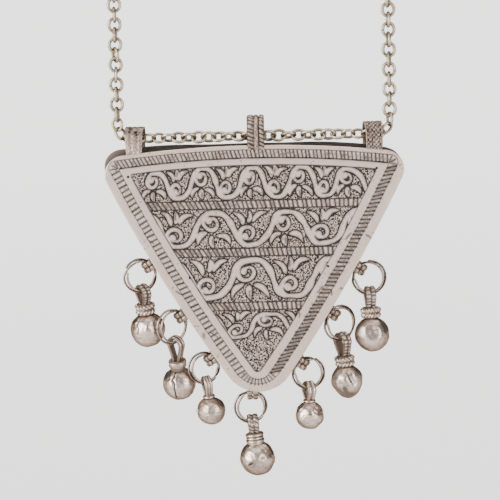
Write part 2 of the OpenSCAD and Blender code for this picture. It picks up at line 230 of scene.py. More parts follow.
def spline(k, per_span):
    """A curve from the second knot to just before the last but one."""
    t = np.linspace(0, 1, per_span, endpoint=False)[:, None]
    return np.vstack([
        0.5 * (2 * k[i] + (k[i + 1] - k[i - 1]) * t
               + (2 * k[i - 1] - 5 * k[i] + 4 * k[i + 1] - k[i + 2]) * t ** 2
               + (3 * k[i] - k[i - 1] - 3 * k[i + 1] + k[i + 2]) * t ** 3)
        for i in range(1, len(k) - 2)])


def even_stations(line, spacing):
    """The line with its stations set at an even spacing, going by its first two columns."""
    run = run_along(line[:, :2])
    at = np.linspace(0, run[-1], max(2, int(round(run[-1] / spacing)) + 1))
    return np.column_stack([np.interp(at, run, column) for column in line.T])


def off_segment(points, a, b):
    """From each point to the nearest place on the segment from a to b."""
    way = b - a
    t = np.clip(((points - a) @ way) / (way @ way), 0, 1)
    return a + t[:, None] * way


# The outline of the case


def arc(centre, radius, start, end):
    """An arc as its centre, radius, first angle and turn; start and end point out from a centre."""
    first = math.atan2(start[1], start[0])
    return centre, radius, first, (math.atan2(end[1], end[0]) - first) % TAU


class Outline:
    """The bowed, rounded triangle, drawn in by its own distance on the left, right and top."""

    SHARP = np.array([[-CASE_W / 2, -CASE_DROP], [0, -CASE_DROP - CASE_H], [CASE_W / 2, -CASE_DROP]])
    BOWS = (SIDE_BOW, SIDE_BOW, TOP_BOW)

    def __init__(self, insets=(0, 0, 0), corners=(CORNER_R, TIP_R, CORNER_R)):
        centres, radii = [], []
        for i in range(3):
            a, b = self.SHARP[i], self.SHARP[(i + 1) % 3]
            chord, bow = np.linalg.norm(b - a), self.BOWS[i]
            radius = (chord * chord / 4 + bow * bow) / (2 * bow)
            along = (b - a) / chord
            centres.append((a + b) / 2 + np.array([-along[1], along[0]]) * (radius - bow))
            radii.append(radius - insets[i])
        o = []
        for i in range(3):
            r1, r2 = radii[i - 1] - corners[i], radii[i] - corners[i]
            d = np.linalg.norm(centres[i] - centres[i - 1])
            u = (centres[i] - centres[i - 1]) / d
            a = (d * d + r1 * r1 - r2 * r2) / (2 * d)
            middle = centres[i - 1] + u * a
            h = math.sqrt(r1 * r1 - a * a) * np.array([-u[1], u[0]])
            o.append(min(middle + h, middle - h, key=lambda p: np.linalg.norm(p - self.SHARP[i])))
        self.corners = [arc(o[i], corners[i], o[i] - centres[i - 1], o[i] - centres[i]) for i in range(3)]
        self.sides = [arc(centres[i], radii[i], o[i] - centres[i], o[(i + 1) % 3] - centres[i])
                      for i in range(3)]

    def loop(self, inset=0.0, spacing=0.5):
        """Points round the outline, in the same number for every inset."""
        points = []
        for pair in zip(self.corners, self.sides):
            for centre, radius, start, turn in pair:
                steps = max(6, int(radius * turn / spacing))
                points.append(centre + (radius - inset) * circle(start + turn * np.arange(steps) / steps))
        return np.vstack(points)

    def depths(self, points):
        return [radius - np.linalg.norm(points - centre, axis=1) for centre, radius, _, _ in self.sides]

    def depth(self, points):
        """How far inside the outline each point lies; less than nothing outside it."""
        inside = np.min(self.depths(points), axis=0)
        for centre, radius, start, turn in self.corners:
            d = points - centre
            beyond = (np.arctan2(d[:, 1], d[:, 0]) - start) % TAU < turn
            inside = np.where(beyond, radius - np.linalg.norm(d, axis=1), inside)
        return inside

    def side_of(self, points):
        """Which side each point lies nearest: 0 left, 1 right, 2 top."""
        return np.argmin(self.depths(points), axis=0)

    def reach(self, z, side):
        """How far across the outline goes at a height, on the left (-1) or the right (1)."""
        x = np.linspace(0, CASE_W / 2, 400) * side
        inside = self.depth(np.column_stack([x, np.full(len(x), z)])) > 0
        return x[inside][-1] if inside.any() else 0.0


PLATE_EDGE = Outline()


def wall_place(side, z):
    """A place on the side wall: the point, straight out of the wall, and along the wall."""
    if side == 0:
        r = TIP_R - PLATE_LIP
        p = PLATE_EDGE.corners[1][0] + np.array([TIP_LOOP_X, -math.sqrt(r * r - TIP_LOOP_X ** 2)])
        return p, np.array([0.0, -1.0]), np.array([1.0, 0.0])
    centre, r = PLATE_EDGE.sides[1][0], PLATE_EDGE.sides[1][1] - PLATE_LIP
    across = 1 if PLATE_EDGE.SHARP[2][0] > centre[0] else -1
    p = np.array([centre[0] + across * math.sqrt(r * r - (z - centre[1]) ** 2), z])
    out = (p - centre) / np.linalg.norm(p - centre)
    return (np.array([side * p[0], z]), np.array([side * out[0], out[1]]),
            np.array([-side * abs(out[1]), -abs(out[0])]))


def to_hole(points):
    """How far each flat point is from the middle of the nearest pin hole."""
    return np.min([np.linalg.norm(points - np.array(p), axis=1) for p in PIN_HOLES], axis=0)


# Meshes


def upright(flat, y):
    """Flat points stood up, with their depth between."""
    return np.column_stack([flat[:, 0], np.broadcast_to(y, len(flat)), flat[:, 1]])


def joined(a, b):
    """Quads between two closed rows of point numbers."""
    return np.column_stack([np.roll(a, -1), a, b, np.roll(b, -1)]).tolist()


class Metalwork:
    """Gathers the shells of one piece into one mesh, each with how dark it is at each point: patina in
    lines, seams and pits, and painted shade in gaps and on inner faces.
    """

    def __init__(self):
        self.points, self.faces, self.dark, self.count = [], [], [], 0

    def add(self, points, faces, dark):
        points = np.asarray(points, float).reshape(-1, 3)
        self.faces += [[self.count + int(v) for v in face] for face in faces]
        self.points.append(points)
        self.dark.append(np.clip(np.broadcast_to(np.ravel(dark), len(points)), 0, 1))
        self.count += len(points)

    def finish(self, name, material, slot, body, *nodes, marks=None):
        mesh = bpy.data.meshes.new(name)
        mesh.from_pydata(place(np.vstack(self.points)).tolist(), [], self.faces)
        for mark, values in {"hollow": np.concatenate(self.dark), **(marks or {})}.items():
            mesh.attributes.new(mark, "FLOAT", "POINT").data.foreach_set(
                "value", np.asarray(values, np.float32))
        mesh.polygons.foreach_set("use_smooth", [True] * len(mesh.polygons))
        mesh.materials.append(material)
        mesh.update()
        piece = bpy.data.objects.new(name, mesh)
        bpy.context.scene.collection.objects.link(piece)
        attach(piece, body)
        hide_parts(*nodes)
        return piece


def grid_faces(rows, columns, close_rows=False):
    """Quads over rows of points, each row a ring that is joined to the next."""
    faces = []
    for i in range(rows if close_rows else rows - 1):
        a, b = i * columns, ((i + 1) % rows) * columns
        for j in range(columns):
            k = (j + 1) % columns
            faces.append((a + j, b + j, b + k, a + k))
    return faces


def sweep(path, across, sections, closed=False):
    """Carries a flat section along a path. across is the direction of the section's first column,
    and its second column points to the left of the way along. Gives points and faces."""
    path = np.asarray(path, float)
    if closed:
        ahead = unit(np.roll(path, -1, axis=0) - np.roll(path, 1, axis=0))
    else:
        ahead = unit(np.gradient(path, axis=0))
    across = np.broadcast_to(np.asarray(across, float), path.shape)
    across = unit(across - ahead * (across * ahead).sum(1)[:, None])
    upward = np.cross(across, ahead)
    points = (path[:, None] + sections[:, :, :1] * across[:, None]
              + sections[:, :, 1:2] * upward[:, None])
    rows, columns = points.shape[:2]
    faces = grid_faces(rows, columns, close_rows=closed)
    if not closed:
        faces.append(tuple(range(columns)))
        faces.append(tuple(reversed(range((rows - 1) * columns, rows * columns))))
    return points.reshape(-1, 3), faces


def round_section(radii, count=14):
    """A round wire's section at each station."""
    return radii[:, None, None] * circle(all_round(count))


def lathe(profile, centre, axes, steps=48):
    """Turns a closed profile of radius and height about an axis. axes are three rows of
    directions: right, back and up."""
    p = np.asarray(profile, float)
    local = np.concatenate([p[None, :, :1] * circle(all_round(steps))[:, None],
                            np.broadcast_to(p[None, :, 1:2], (steps, len(p), 1))], -1)
    return (centre + local @ axes).reshape(-1, 3), grid_faces(steps, len(p), True)


def triangulate(points):
    """Triangles between flat points. Gives the points kept, the triangles, and for each point
    that went in, its number in the result."""
    found = delaunay_2d_cdt([Vector(p) for p in points.tolist()], [], [], 0, 1e-5, True)
    flat = np.array([(v.x, v.y) for v in found[0]])
    kept_as = np.full(len(points), -1)
    for new, olds in enumerate(found[3]):
        kept_as[olds] = new
    triangles = np.array(list(found[2]))
    a, b, c = (flat[triangles[:, k]] for k in range(3))
    area = (b[:, 0] - a[:, 0]) * (c[:, 1] - a[:, 1]) - (b[:, 1] - a[:, 1]) * (c[:, 0] - a[:, 0])
    triangles[area < 0] = triangles[area < 0][:, ::-1]
    return flat, triangles[np.abs(area) > SMALL], kept_as


def spaced_out(points, fill, cell=0.095, clear=0.2):
    """One set of points: the first in each small cell, and fill points only away from the rest."""
    keys = np.round(points / cell).astype(np.int64)
    _, first = np.unique(keys[:, 0] * 1000003 + keys[:, 1], return_index=True)
    points = points[np.sort(first)]
    low = points.min(0) - 2 * clear
    size = ((points.max(0) - low) / clear).astype(int) + 4
    taken = np.zeros(size, bool)
    i = ((points - low) / clear).astype(int)
    taken[i[:, 0], i[:, 1]] = True
    for f in fill:
        j = ((f - low) / clear).astype(int)
        inside = ((j >= 0) & (j < size)).all(1)
        f, j = f[inside], j[inside]
        points = np.vstack([points, f[~taken[j[:, 0], j[:, 1]]]])
    return points


def jittered_grid(pitch, seed):
    rng = np.random.default_rng(seed)
    gx, gz = np.meshgrid(np.arange(GRID_LOW[0], GRID_HIGH[0], pitch),
                         np.arange(GRID_LOW[1], GRID_HIGH[1], pitch * 0.87))
    gx = gx + pitch / 2 * (np.arange(len(gx)) % 2)[:, None]
    points = np.column_stack([gx.ravel(), gz.ravel()])
    return points + rng.uniform(-0.28, 0.28, points.shape) * pitch


# The engraving


def swept_discs(knots, step=0.12):
    """A brush stroke as overlapping discs: x, z and radius of each."""
    k = np.vstack([2 * knots[0] - knots[1], knots, 2 * knots[-1] - knots[-2]])
    return even_stations(np.vstack([spline(k, 24), k[-2:-1]]), step)


def leaf(start, end, half_width, bend):
    """A pointed leaf between two places, bent to one side."""
    t = np.linspace(0, 1, 9)
    along = end - start
    side = np.array([-along[1], along[0]])
    points = start + along * t[:, None] + side * (bend * np.sin(math.pi * t))[:, None]
    width = half_width * np.sin(math.pi * t ** 0.8) ** 0.8 + 0.12
    return swept_discs(np.column_stack([points, width]))


class Register:
    """One field of the plate between two bands, and the leaf scroll that fills it."""

    # Places in a hollow go from -1 to 1 across it and from its bottom to its top.
    CURL, CURL_R = (-0.35, -0.33), (0.17, 0.52)
    TAIL = [(0.22, -0.78), (0.62, -0.42), (0.88, 0.1), (1.12, 0.6), (1.42, 0.84)]
    TAIL_WIDTH = (1.0, 1.12, 1.05, 0.95, 0.9)
    LEAVES = [((-0.12, 0.34), (0.66, 0.84), 0.22), ((-0.34, 0.36), (-0.3, 0.98), -0.12),
              ((-0.58, 0.22), (-1.16, 0.86), -0.2)]

    def __init__(self, high, low, hollows, field):
        self.high, self.low, self.hollows, self.field = high, low, hollows, field
        middle = (high + low) / 2
        self.left = field.reach(middle, -1) + 0.6
        self.right = field.reach(middle, 1) - 0.6

    def to_plate(self, k, at, over):
        """A place in hollow k, on the plate. over -1 turns the hollow upside down."""
        at = np.asarray(at, float) * [1, over]
        x = self.left + (self.right - self.left) * (k + 0.5 + at[..., 0] / 2) / self.hollows
        bow, radius = self.field.sides[2][:2]
        top = np.minimum(bow[1] + np.sqrt(np.maximum(radius ** 2 - (x - bow[0]) ** 2, 0)), self.high)
        return np.stack([x, (top + self.low) / 2 + at[..., 1] * (top - self.low) / 2], -1)

    def scroll(self, stem):
        """A vine that waves up and down along the field. In each hollow it curls round a bud,
        with three leaves; every other hollow is upside down."""
        strokes, veins = [], []
        turn = np.radians(np.linspace(-150, 268, 24))
        line = np.vstack([circle(turn) * np.linspace(*self.CURL_R, len(turn))[:, None] + self.CURL,
                          self.TAIL])
        width = stem * np.concatenate([np.linspace(0.55, 0.92, len(turn)), self.TAIL_WIDTH])
        width[:3] = stem * np.array([1.25, 1.2, 0.9])
        for k in range(-1, self.hollows + 1):
            over = 1 if k % 2 == 0 else -1
            strokes.append(swept_discs(np.column_stack([self.to_plate(k, line, over), width])))
            for root, tip, bend in self.LEAVES:
                root, tip = self.to_plate(k, root, over), self.to_plate(k, tip, over)
                strokes.append(leaf(root, tip, stem * 0.86, bend))
                veins.append((root + (tip - root) * 0.3, root + (tip - root) * 0.72, 0.75, 0.8))
        return strokes, veins


class Engraving:
    """The lines and the sunk ground of the front plate. A stroke is its two ends, how dark it is
    and how broad."""

    PITCH = 0.14
    LOW, SPAN = np.array([-44.0, -82.0]), (88, 78)

    def __init__(self, sizes):
        self.line = in_mm(sizes.line_width)
        self.outlines = [(Outline(*shape), broad) for shape, broad in (BORDER, RAIL, FIELD)]
        self.field = self.outlines[2][0]
        self.hatch_step = in_mm(sizes.hatch_spacing)
        self.seed = sizes.seed
        self.strokes = []
        self._ladder()
        self._rungs()
        self._motif(in_mm(sizes.stem_width) / 2)

    def _stroke(self, rng, point, inward, width, lean, ends, broad):
        """A short stroke, at a lean whose last term is how steady the engraver's hand is."""
        lean = math.radians(lean[0] + rng.normal(0, lean[1]))
        way = np.array([math.cos(lean), math.sin(lean)])
        half = width / 2 / max(0.5, abs(way @ inward))
        ends = half * rng.uniform(*ends, 2)
        self.strokes.append((point - way * ends[0], point + way * ends[1], rng.uniform(0.75, 1.0), broad))

    def _ladder(self):
        """Short strokes across the border, each leaning as the engraver's hand did."""
        rng = np.random.default_rng(self.seed)
        middle = Outline(*LADDER)
        leans = (lambda t: 27 + 6 * math.sin(9 * t), lambda t: 4 + 8 * math.sin(7 * t + 1),
                 lambda t: 90 + 3 + 30 * t ** 1.5)
        for side, (width, pitch, broad) in enumerate(LADDER_SIDES):
            centre, radius, start, turn = middle.sides[side]
            count = int(turn * radius / (self.hatch_step * pitch))
            for k in range(count):
                t = (k + 0.5 + rng.uniform(-0.09, 0.09)) / count
                out = circle([start + turn * t])[0]
                self._stroke(rng, centre + radius * out, out, width, (leans[side](t), 2.5),
                             (0.78, 1.02), broad)
            centre, radius, start, turn = middle.corners[side]
            count = max(2, int(radius * turn / self.hatch_step) + 1)
            for way in circle(start + turn * (np.arange(count) + 0.5) / count):
                point = centre + radius * way
                self.strokes.append((point - way * 0.95, point + way * 0.95, rng.uniform(0.6, 0.95), 1.0))

    def _rungs(self):
        """Strokes across the three bands, less and less aslant from left to right."""
        rng = np.random.default_rng(self.seed + 1)
        for z in BAND_Z:
            left, right = self.field.reach(z, -1), self.field.reach(z, 1)
            count = int((right - left) / (self.hatch_step * 1.25))
            for k in range(count):
                t = (k + 0.5 + rng.uniform(-0.12, 0.12)) / count
                self._stroke(rng, np.array([left + (right - left) * t, z]), (0, 1), 2 * BAND_HALF,
                             (90 + 38 * (1 - t), 3), (0.75, 1.0), 1.6)

    def _motif(self, stem):
        """Draws the vines, as how far each place of a fine grid lies from their strokes."""
        gap = BAND_HALF + 0.4
        tops = [0.0] + [z - gap for z in BAND_Z]
        lows = [z + gap for z in BAND_Z] + [tops[-1] - TIP_FIELD_H]
        discs = []
        for high, low, (hollows, weight) in zip(tops, lows, VINES):
            strokes, veins = Register(high, low, hollows, self.field).scroll(stem * weight)
            discs += strokes
            self.strokes += veins
        discs = np.vstack(discs)
        discs[:, 0] += 0.3 * waves(discs[:, :2], 14, self.seed + 3)
        discs[:, 1] += 0.25 * waves(discs[:, :2], 11, self.seed + 4)
        discs[:, 2] *= 1 + 0.12 * waves(discs[:, :2], 6, self.seed + 5)
        self.reach = np.full([int(span / self.PITCH) for span in self.SPAN], FAR)
        for x, z, r in discs:
            i, j = ((np.array([x, z]) - self.LOW) / self.PITCH).astype(int)
            w = int((r + 1.2) / self.PITCH) + 1
            i0, j0 = max(i - w, 0), max(j - w, 0)
            window = self.reach[i0:i + w + 2, j0:j + w + 2]
            gx = self.LOW[0] + np.arange(i0, i0 + window.shape[0]) * self.PITCH - x
            gz = self.LOW[1] + np.arange(j0, j0 + window.shape[1]) * self.PITCH - z
            np.minimum(window, np.hypot(gx[:, None], gz[None]) - r, out=window)

    def room(self, points):
        """How far each point is from the edge of its register; less than nothing outside."""
        bands = [np.abs(points[:, 1] - z) - BAND_HALF for z in BAND_Z]
        return np.minimum(self.field.depth(points), np.min(bands, axis=0))

    def beyond_motif(self, points):
        """Distance outside the scroll's strokes; less than nothing on them."""
        at = np.clip((points - self.LOW) / self.PITCH, 0, np.array(self.reach.shape) - 1.001)
        (i, j), (f, g) = at.astype(int).T, (at - at.astype(int)).T
        r = self.reach
        return ((r[i, j] * (1 - f) + r[i + 1, j] * f) * (1 - g)
                + (r[i, j + 1] * (1 - f) + r[i + 1, j + 1] * f) * g)

    def contour(self):
        """Points on the strokes' edges, with the direction away from the stroke."""
        found = []
        for axis in (0, 1):
            r = np.moveaxis(self.reach, axis, 0)
            i, j = np.nonzero(np.moveaxis((r[:-1] > 0) != (r[1:] > 0), 0, axis))
            a = self.reach[i, j]
            b = self.reach[i + (axis == 0), j + (axis == 1)]
            p = np.column_stack([i, j]).astype(float)
            p[:, axis] += a / (a - b)
            found.append(self.LOW + p * self.PITCH)
        points = np.vstack(found)
        slope = np.column_stack([self.beyond_motif(points + step) - self.beyond_motif(points - step)
                                 for step in np.eye(2) * self.PITCH])
        return points, unit(slope)

    def stations(self):
        """Mesh points that follow every line, the finest first."""
        offsets = np.array([0, 1, -1, 1.9, -1.9]) * self.line / 2
        layers = [outline.loop(d, 0.34) for outline, _ in self.outlines for d in offsets]
        for z in BAND_Z:
            for edge in (-BAND_HALF, BAND_HALF):
                x = np.arange(self.field.reach(z, -1), self.field.reach(z, 1), 0.34)
                layers += [np.column_stack([x, np.full(len(x), z + edge + d)]) for d in offsets]
        for a, b, _, wide in self.strokes:
            length = np.linalg.norm(b - a)
            way = (b - a) / length
            side = np.array([-way[1], way[0]])
            t = np.linspace(-0.1, length + 0.1, max(3, int(length / 0.3) + 1))[:, None]
            layers += [a + way * t + side * d * wide for d in offsets[:3]]
        points, out = self.contour()
        inside = self.room(points) > -0.05
        points, out = points[inside], out[inside]
        for d in (0.1, 0.0, 0.22, -0.13):
            moved = points + out * d
            layers.append(moved[np.abs(self.beyond_motif(moved) - d) < 0.04])
        return np.vstack(layers)

    def relief(self, points):
        """At each point: how deep a cut line is there, how dark, and how much sunk ground."""
        half = self.line / 2
        room, beyond = self.room(points), self.beyond_motif(points)
        off = np.full(len(points), FAR)
        for outline, broad in self.outlines:
            off = np.minimum(off, np.abs(outline.depth(points)) / np.array(broad)[outline.side_of(points)])
        in_field = self.field.depth(points) > -0.05
        for z in BAND_Z:
            near = np.abs(np.abs(points[:, 1] - z) - BAND_HALF)
            off = np.where(in_field, np.minimum(off, near), off)
        off = np.where(room > 0, np.minimum(off, np.abs(beyond - 0.1)), off)
        cut = np.clip(1 - off / (half * 1.9), 0, 1)
        dark = np.clip(1.9 * cut * (0.85 + 0.15 * waves(points, 5, self.seed + 6)), 0, 1)
        for a, b, strength, wide in self.strokes:
            low, high = np.minimum(a, b) - 0.5, np.maximum(a, b) + 0.5
            near = np.nonzero(((points > low) & (points < high)).all(1))[0]
            d = np.linalg.norm(points[near] - off_segment(points[near], a, b), axis=1)
            stroke = strength * np.clip(1 - d / (half * 1.8 * wide), 0, 1)
            cut[near] = np.maximum(cut[near], stroke)
            dark[near] = np.maximum(dark[near], np.clip(1.85 * stroke, 0, 1))
        return cut, dark, soft_step(0.02, 0.2, beyond) * soft_step(-0.02, 0.12, room)


# Finishes


class Nodes:
    """Builds a node tree with few words."""

    def __init__(self, tree):
        self.tree = tree

    def add(self, kind, inputs=(), **settings):
        node = self.tree.nodes.new("ShaderNode" + kind)
        for key, value in settings.items():
            setattr(node, key, value)
        for key, value in dict(inputs).items():
            self.feed(node.inputs[key], value)
        return node

    def feed(self, socket, value):
        if isinstance(value, bpy.types.NodeSocket):
            self.tree.links.new(value, socket)
        else:
            socket.default_value = value

    def combine(self, operation, a, b, clamp=False):
        return self.add("Math", {0: a, 1: b}, operation=operation, use_clamp=clamp).outputs[0]

    times = partialmethod(combine, "MULTIPLY")
    plus = partialmethod(combine, "ADD")
    minus = partialmethod(combine, "SUBTRACT")
    over = partialmethod(combine, "DIVIDE")
    most = partialmethod(combine, "MAXIMUM")

    def vector(self, operation, a, b):
        return self.add("VectorMath", {0: a, 1: b}, operation=operation).outputs[0]

    def band(self, value, low, high, to_low=0.0, to_high=1.0):
        return self.add("MapRange", {
            "Value": value, "From Min": low, "From Max": high, "To Min": to_low, "To Max": to_high,
        }, interpolation_type="SMOOTHSTEP").outputs["Result"]

    def mix(self, share, a, b):
        return self.add("Mix", {0: share, 6: a, 7: b}, data_type="RGBA").outputs[2]

    def noise(self, vector, scale, detail=2.0, roughness=0.5, output="Fac"):
        return self.add("TexNoise", {"Vector": vector, "Scale": scale, "Detail": detail,
                                     "Roughness": roughness}).outputs[output]

    def cells(self, vector, scale, randomness):
        return self.add("TexVoronoi", {"Vector": vector, "Scale": scale,
                                       "Randomness": randomness}).outputs["Distance"]

    def mark(self, name):
        return self.add("Attribute", attribute_name=name).outputs["Fac"]


def cloud_group(n, given, out):
    """Blotches of tarnish of a given size and cover."""
    noise = n.noise(given["Vector"], n.over(1.0, given["Size"]), 6.0, 0.62)
    start = n.minus(1.0, given["Cover"])
    n.feed(out["Mask"], n.band(noise, n.minus(start, given["Softness"]), n.plus(start, given["Softness"])))


def scratch_group(n, given, out):
    """Fine hair scratches in three directions."""
    less = n.times(given["Cover"], 0.2)
    masks = []
    for turn, offset in ((0.5, 0.0), (-0.9, 3.7), (1.35, 7.9)):
        turned = n.add("VectorRotate", {"Vector": given["Vector"], "Angle": turn},
                       rotation_type="Y_AXIS").outputs[0]
        parts = n.add("SeparateXYZ", {0: turned}).outputs
        stretched = n.add("CombineXYZ", {
            "X": n.over(parts["X"], given["Length"]), "Y": n.over(parts["Y"], given["Length"]),
            "Z": n.plus(n.over(parts["Z"], given["Thickness"]), offset)}).outputs[0]
        masks.append(n.band(n.noise(stretched, 1.0, 1.0), n.minus(0.82, less), n.minus(0.86, less)))
    n.feed(out["Mask"], n.most(n.most(masks[0], masks[1]), masks[2]))


def pit_group(n, given, out):
    """Casting pits and grit: a height, and a mask of the deepest pits."""
    scale = n.over(1.0, given["Size"])
    wide = n.noise(given["Vector"], n.times(scale, 0.16), 3.0)
    pits = n.times(n.band(n.cells(given["Vector"], n.times(scale, 0.45), 1.0), 0.34, 0.12),
                   n.band(wide, n.minus(0.78, given["Cover"]), n.minus(0.92, given["Cover"])))
    n.feed(out["Pits"], pits)
    n.feed(out["Height"], n.minus(n.noise(given["Vector"], scale, 5.0, 0.65), pits))


def stipple_group(n, given, out):
    """Punched ground: close dots and little rings, bright between and dark inside."""
    scale = n.over(1.0, given["Dot"])
    flat = n.vector("MULTIPLY", given["Vector"], (1.0, 0.0, 1.0))
    warp = n.noise(flat, n.times(scale, 0.5), output="Color")
    warped = n.vector("ADD", flat, n.vector("MULTIPLY", warp, (0.00035, 0.0, 0.00035)))
    dots = n.cells(warped, scale, 0.85)
    grain = n.noise(flat, n.times(scale, 1.4), 3.0, 0.7)
    n.feed(out["Height"], n.plus(n.band(dots, 0.15, 0.6), n.times(grain, 0.7)))
    n.feed(out["Dark"], n.plus(n.band(dots, 0.56, 0.3), n.times(n.band(grain, 0.56, 0.44), 0.8), clamp=True))


# Each shared effect: what builds it, the plain numbers it takes, and what it puts out.
GROUPS = {
    "Tarnish clouds": (cloud_group, {"Size": 0.008, "Cover": 0.5, "Softness": 0.12}, ("Mask",)),
    "Hair scratches": (scratch_group, {"Length": 0.009, "Thickness": 0.00022, "Cover": 0.3}, ("Mask",)),
    "Pits and grit": (pit_group, {"Size": 0.0006, "Cover": 0.3}, ("Height", "Pits")),
    "Punched ground": (stipple_group, {"Dot": 0.00055}, ("Height", "Dark")),
}


def shared_group(name):
    """The node group of that name, built when it is first asked for."""
    if name in bpy.data.node_groups:
        return bpy.data.node_groups[name]
    group = bpy.data.node_groups.new(name, "ShaderNodeTree")
    build, numbers, outputs = GROUPS[name]
    group.interface.new_socket("Vector", in_out="INPUT", socket_type="NodeSocketVector")
    for label, default in numbers.items():
        socket = group.interface.new_socket(label, in_out="INPUT", socket_type="NodeSocketFloat")
        socket.default_value = default
    for label in outputs:
        group.interface.new_socket(label, in_out="OUTPUT", socket_type="NodeSocketFloat")
    build(Nodes(group), group.nodes.new("NodeGroupInput").outputs, group.nodes.new("NodeGroupOutput").inputs)
    return group


# The numbers that all the silvers share, and then each silver: its material's name, the colour
# that it is where it is bright, and the numbers of its own.
# edge is how much painted dark reflection a silver takes towards its outline.
PLAIN = dict(cloud_size=0.012, cloud_cover=0.5, speck_cover=0.3, tint=0.5, tarnish=0.3, specks=0.2,
             scratches=0.3, scratch_mark=0.3, grit_size=0.0006, pits=0.3, pit_dark=0.5, grit=0.5,
             hollow_dark=0.95, dark_metal=0.6, edge=0.0, rough=0.4, metallic=0.9, bump=0.00004,
             ground=0.0, edge_tinted=True)
SILVERS = {
    "plate": ("Engraved plate silver", "silver_colour", dict(
        ground=0.0006, rough=0.48, tarnish=0.18, specks=0.12, scratches=0.5, scratch_mark=0.4,
        metallic=0.8, hollow_dark=0.97, edge_tinted=False)),
    "case": ("Tarnished case silver", "silver_colour", dict(
        cloud_size=0.02, cloud_cover=0.66, tarnish=0.85, specks=0.5, rough=0.55, metallic=0.8,
        dark_metal=0.15, edge_tinted=False)),
    "fitting": ("Pitted fitting silver", "dull_colour", dict(
        cloud_size=0.004, cloud_cover=0.62, tarnish=0.7, specks=0.6, edge=0.5, pits=0.5, pit_dark=0.9,
        grit_size=0.0004, bump=0.00009, rough=0.34, hollow_dark=1.0)),
    "ball": ("Polished ball silver", "ball_colour", dict(
        cloud_size=0.006, cloud_cover=0.45, tarnish=0.48, specks=0.25, edge=0.85, scratches=0.4,
        rough=0.31, metallic=1.0, bump=0.00005)),
    "chain": ("Bright chain silver", "chain_colour", dict(
        cloud_size=0.005, tarnish=0.35, specks=0.3, edge=0.8, rough=0.34, metallic=1.0,
        grit_size=0.0005)),
    "ring": ("Dull ring silver", "ring_colour", dict(
        cloud_size=0.004, tarnish=0.55, specks=0.5, edge=0.85, rough=0.25, metallic=1.0, pits=0.4,
        pit_dark=0.8, bump=0.00006, hollow_dark=1.0)),
}


def rgba(colour):
    return (*colour, 1.0)


def silver(kind):
    """A worn silver, from the scene's colours and the plain numbers in which the silvers differ."""
    look = bpy.context.scene.necklace_look
    name, bright, own = SILVERS[kind]
    if name in bpy.data.materials:
        return bpy.data.materials[name]
    f = SimpleNamespace(**{**PLAIN, **own})
    material = bpy.data.materials.new(name)
    material.use_nodes = True
    material.node_tree.nodes.clear()
    n = Nodes(material.node_tree)
    where = n.add("TexCoord").outputs["Object"]

    def effect(label, **numbers):
        return n.add("Group", {"Vector": where, **numbers}, node_tree=shared_group(label)).outputs

    clouds = effect("Tarnish clouds", Size=f.cloud_size, Cover=f.cloud_cover, Softness=0.16)["Mask"]
    specks = effect("Tarnish clouds", Size=f.cloud_size * 0.16, Cover=f.speck_cover, Softness=0.07)["Mask"]
    tint = effect("Tarnish clouds", Size=f.cloud_size * 0.6, Cover=0.42, Softness=0.2)["Mask"]
    scratch = effect("Hair scratches", Cover=f.scratches)["Mask"]
    grit = effect("Pits and grit", Size=f.grit_size, Cover=f.pits)

    colour = rgba(getattr(look, bright))
    for mask, share, over in ((tint, f.tint, look.warm_colour), (clouds, f.tarnish, look.tarnish_colour),
                              (specks, f.specks, look.patina_and_shade_colour),
                              (scratch, f.scratch_mark, look.scratch_colour)):
        colour = n.mix(n.times(mask, share), colour, rgba(over))
    # The hollow mark holds patina in lines, seams and pits, and painted shade in gaps, crevices and on inner
    # faces; both are laid in the patina colour.
    dark = n.most(n.times(grit["Pits"], f.pit_dark), n.times(n.mark("hollow"), f.hollow_dark))
    height = n.plus(n.times(grit["Height"], f.grit), n.times(scratch, -0.25))
    if f.ground:
        ground = n.mark("ground")
        punched = effect("Punched ground", Dot=f.ground)
        sunk = n.times(ground, n.band(punched["Dark"], 0.22, 0.74, 0.02, 1.0))
        colour = n.mix(n.times(sunk, n.band(tint, 0.0, 1.0, 1.0, 0.85)), colour, rgba(look.patina_and_shade_colour))
        height = n.plus(height, n.times(n.times(punched["Height"], ground), 1.6))
    colour = n.mix(dark, colour, rgba(look.patina_and_shade_colour))
    # Painted dark reflection: towards the outline that the view sees, round silver is painted the tan edge
    # colour, as if it mirrored dark surroundings there.
    edge = n.add("LayerWeight", {"Blend": 0.5}).outputs["Facing"]
    colour = n.mix(n.times(n.band(edge, 0.08, 0.72), f.edge), colour, rgba(look.painted_edge_reflection_colour))
    rough = n.plus(n.plus(f.rough, n.times(clouds, 0.12)), n.times(dark, 0.25), clamp=True)
    bump = n.add("Bump", {"Height": height, "Strength": 1.0, "Distance": f.bump})
    shader = n.add("BsdfPrincipled", {
        "Base Color": colour, "Roughness": rough,
        "Metallic": n.times(f.metallic, n.band(dark, 0.0, 1.0, 1.0, f.dark_metal)),
        "Specular IOR Level": n.band(dark, 0.0, 1.0, 0.5, 0.03),
        "Specular Tint": rgba(look.edge_tint if f.edge_tinted else (1.0, 1.0, 1.0)),
        "Normal": bump.outputs[0]})
    n.add("OutputMaterial", {"Surface": shader.outputs[0]})
    return material


# What a user may change


def length(name, description, default, low=0.0, high=2.0):
    return FloatProperty(name=name, description=description, default=default, min=low, max=high,
                         unit="LENGTH", precision=5)


def tone(name, description, default):
    return FloatVectorProperty(name=name, description=description, default=default, size=3,
                               subtype="COLOR", min=0.0, max=1.0)


def power(name, description, default):
    return FloatProperty(name=name, description=description, default=default, min=0.0, unit="POWER")


def angle(name, description, degrees):
    return FloatProperty(name=name, description=description, default=math.radians(degrees),
                         subtype="ANGLE")


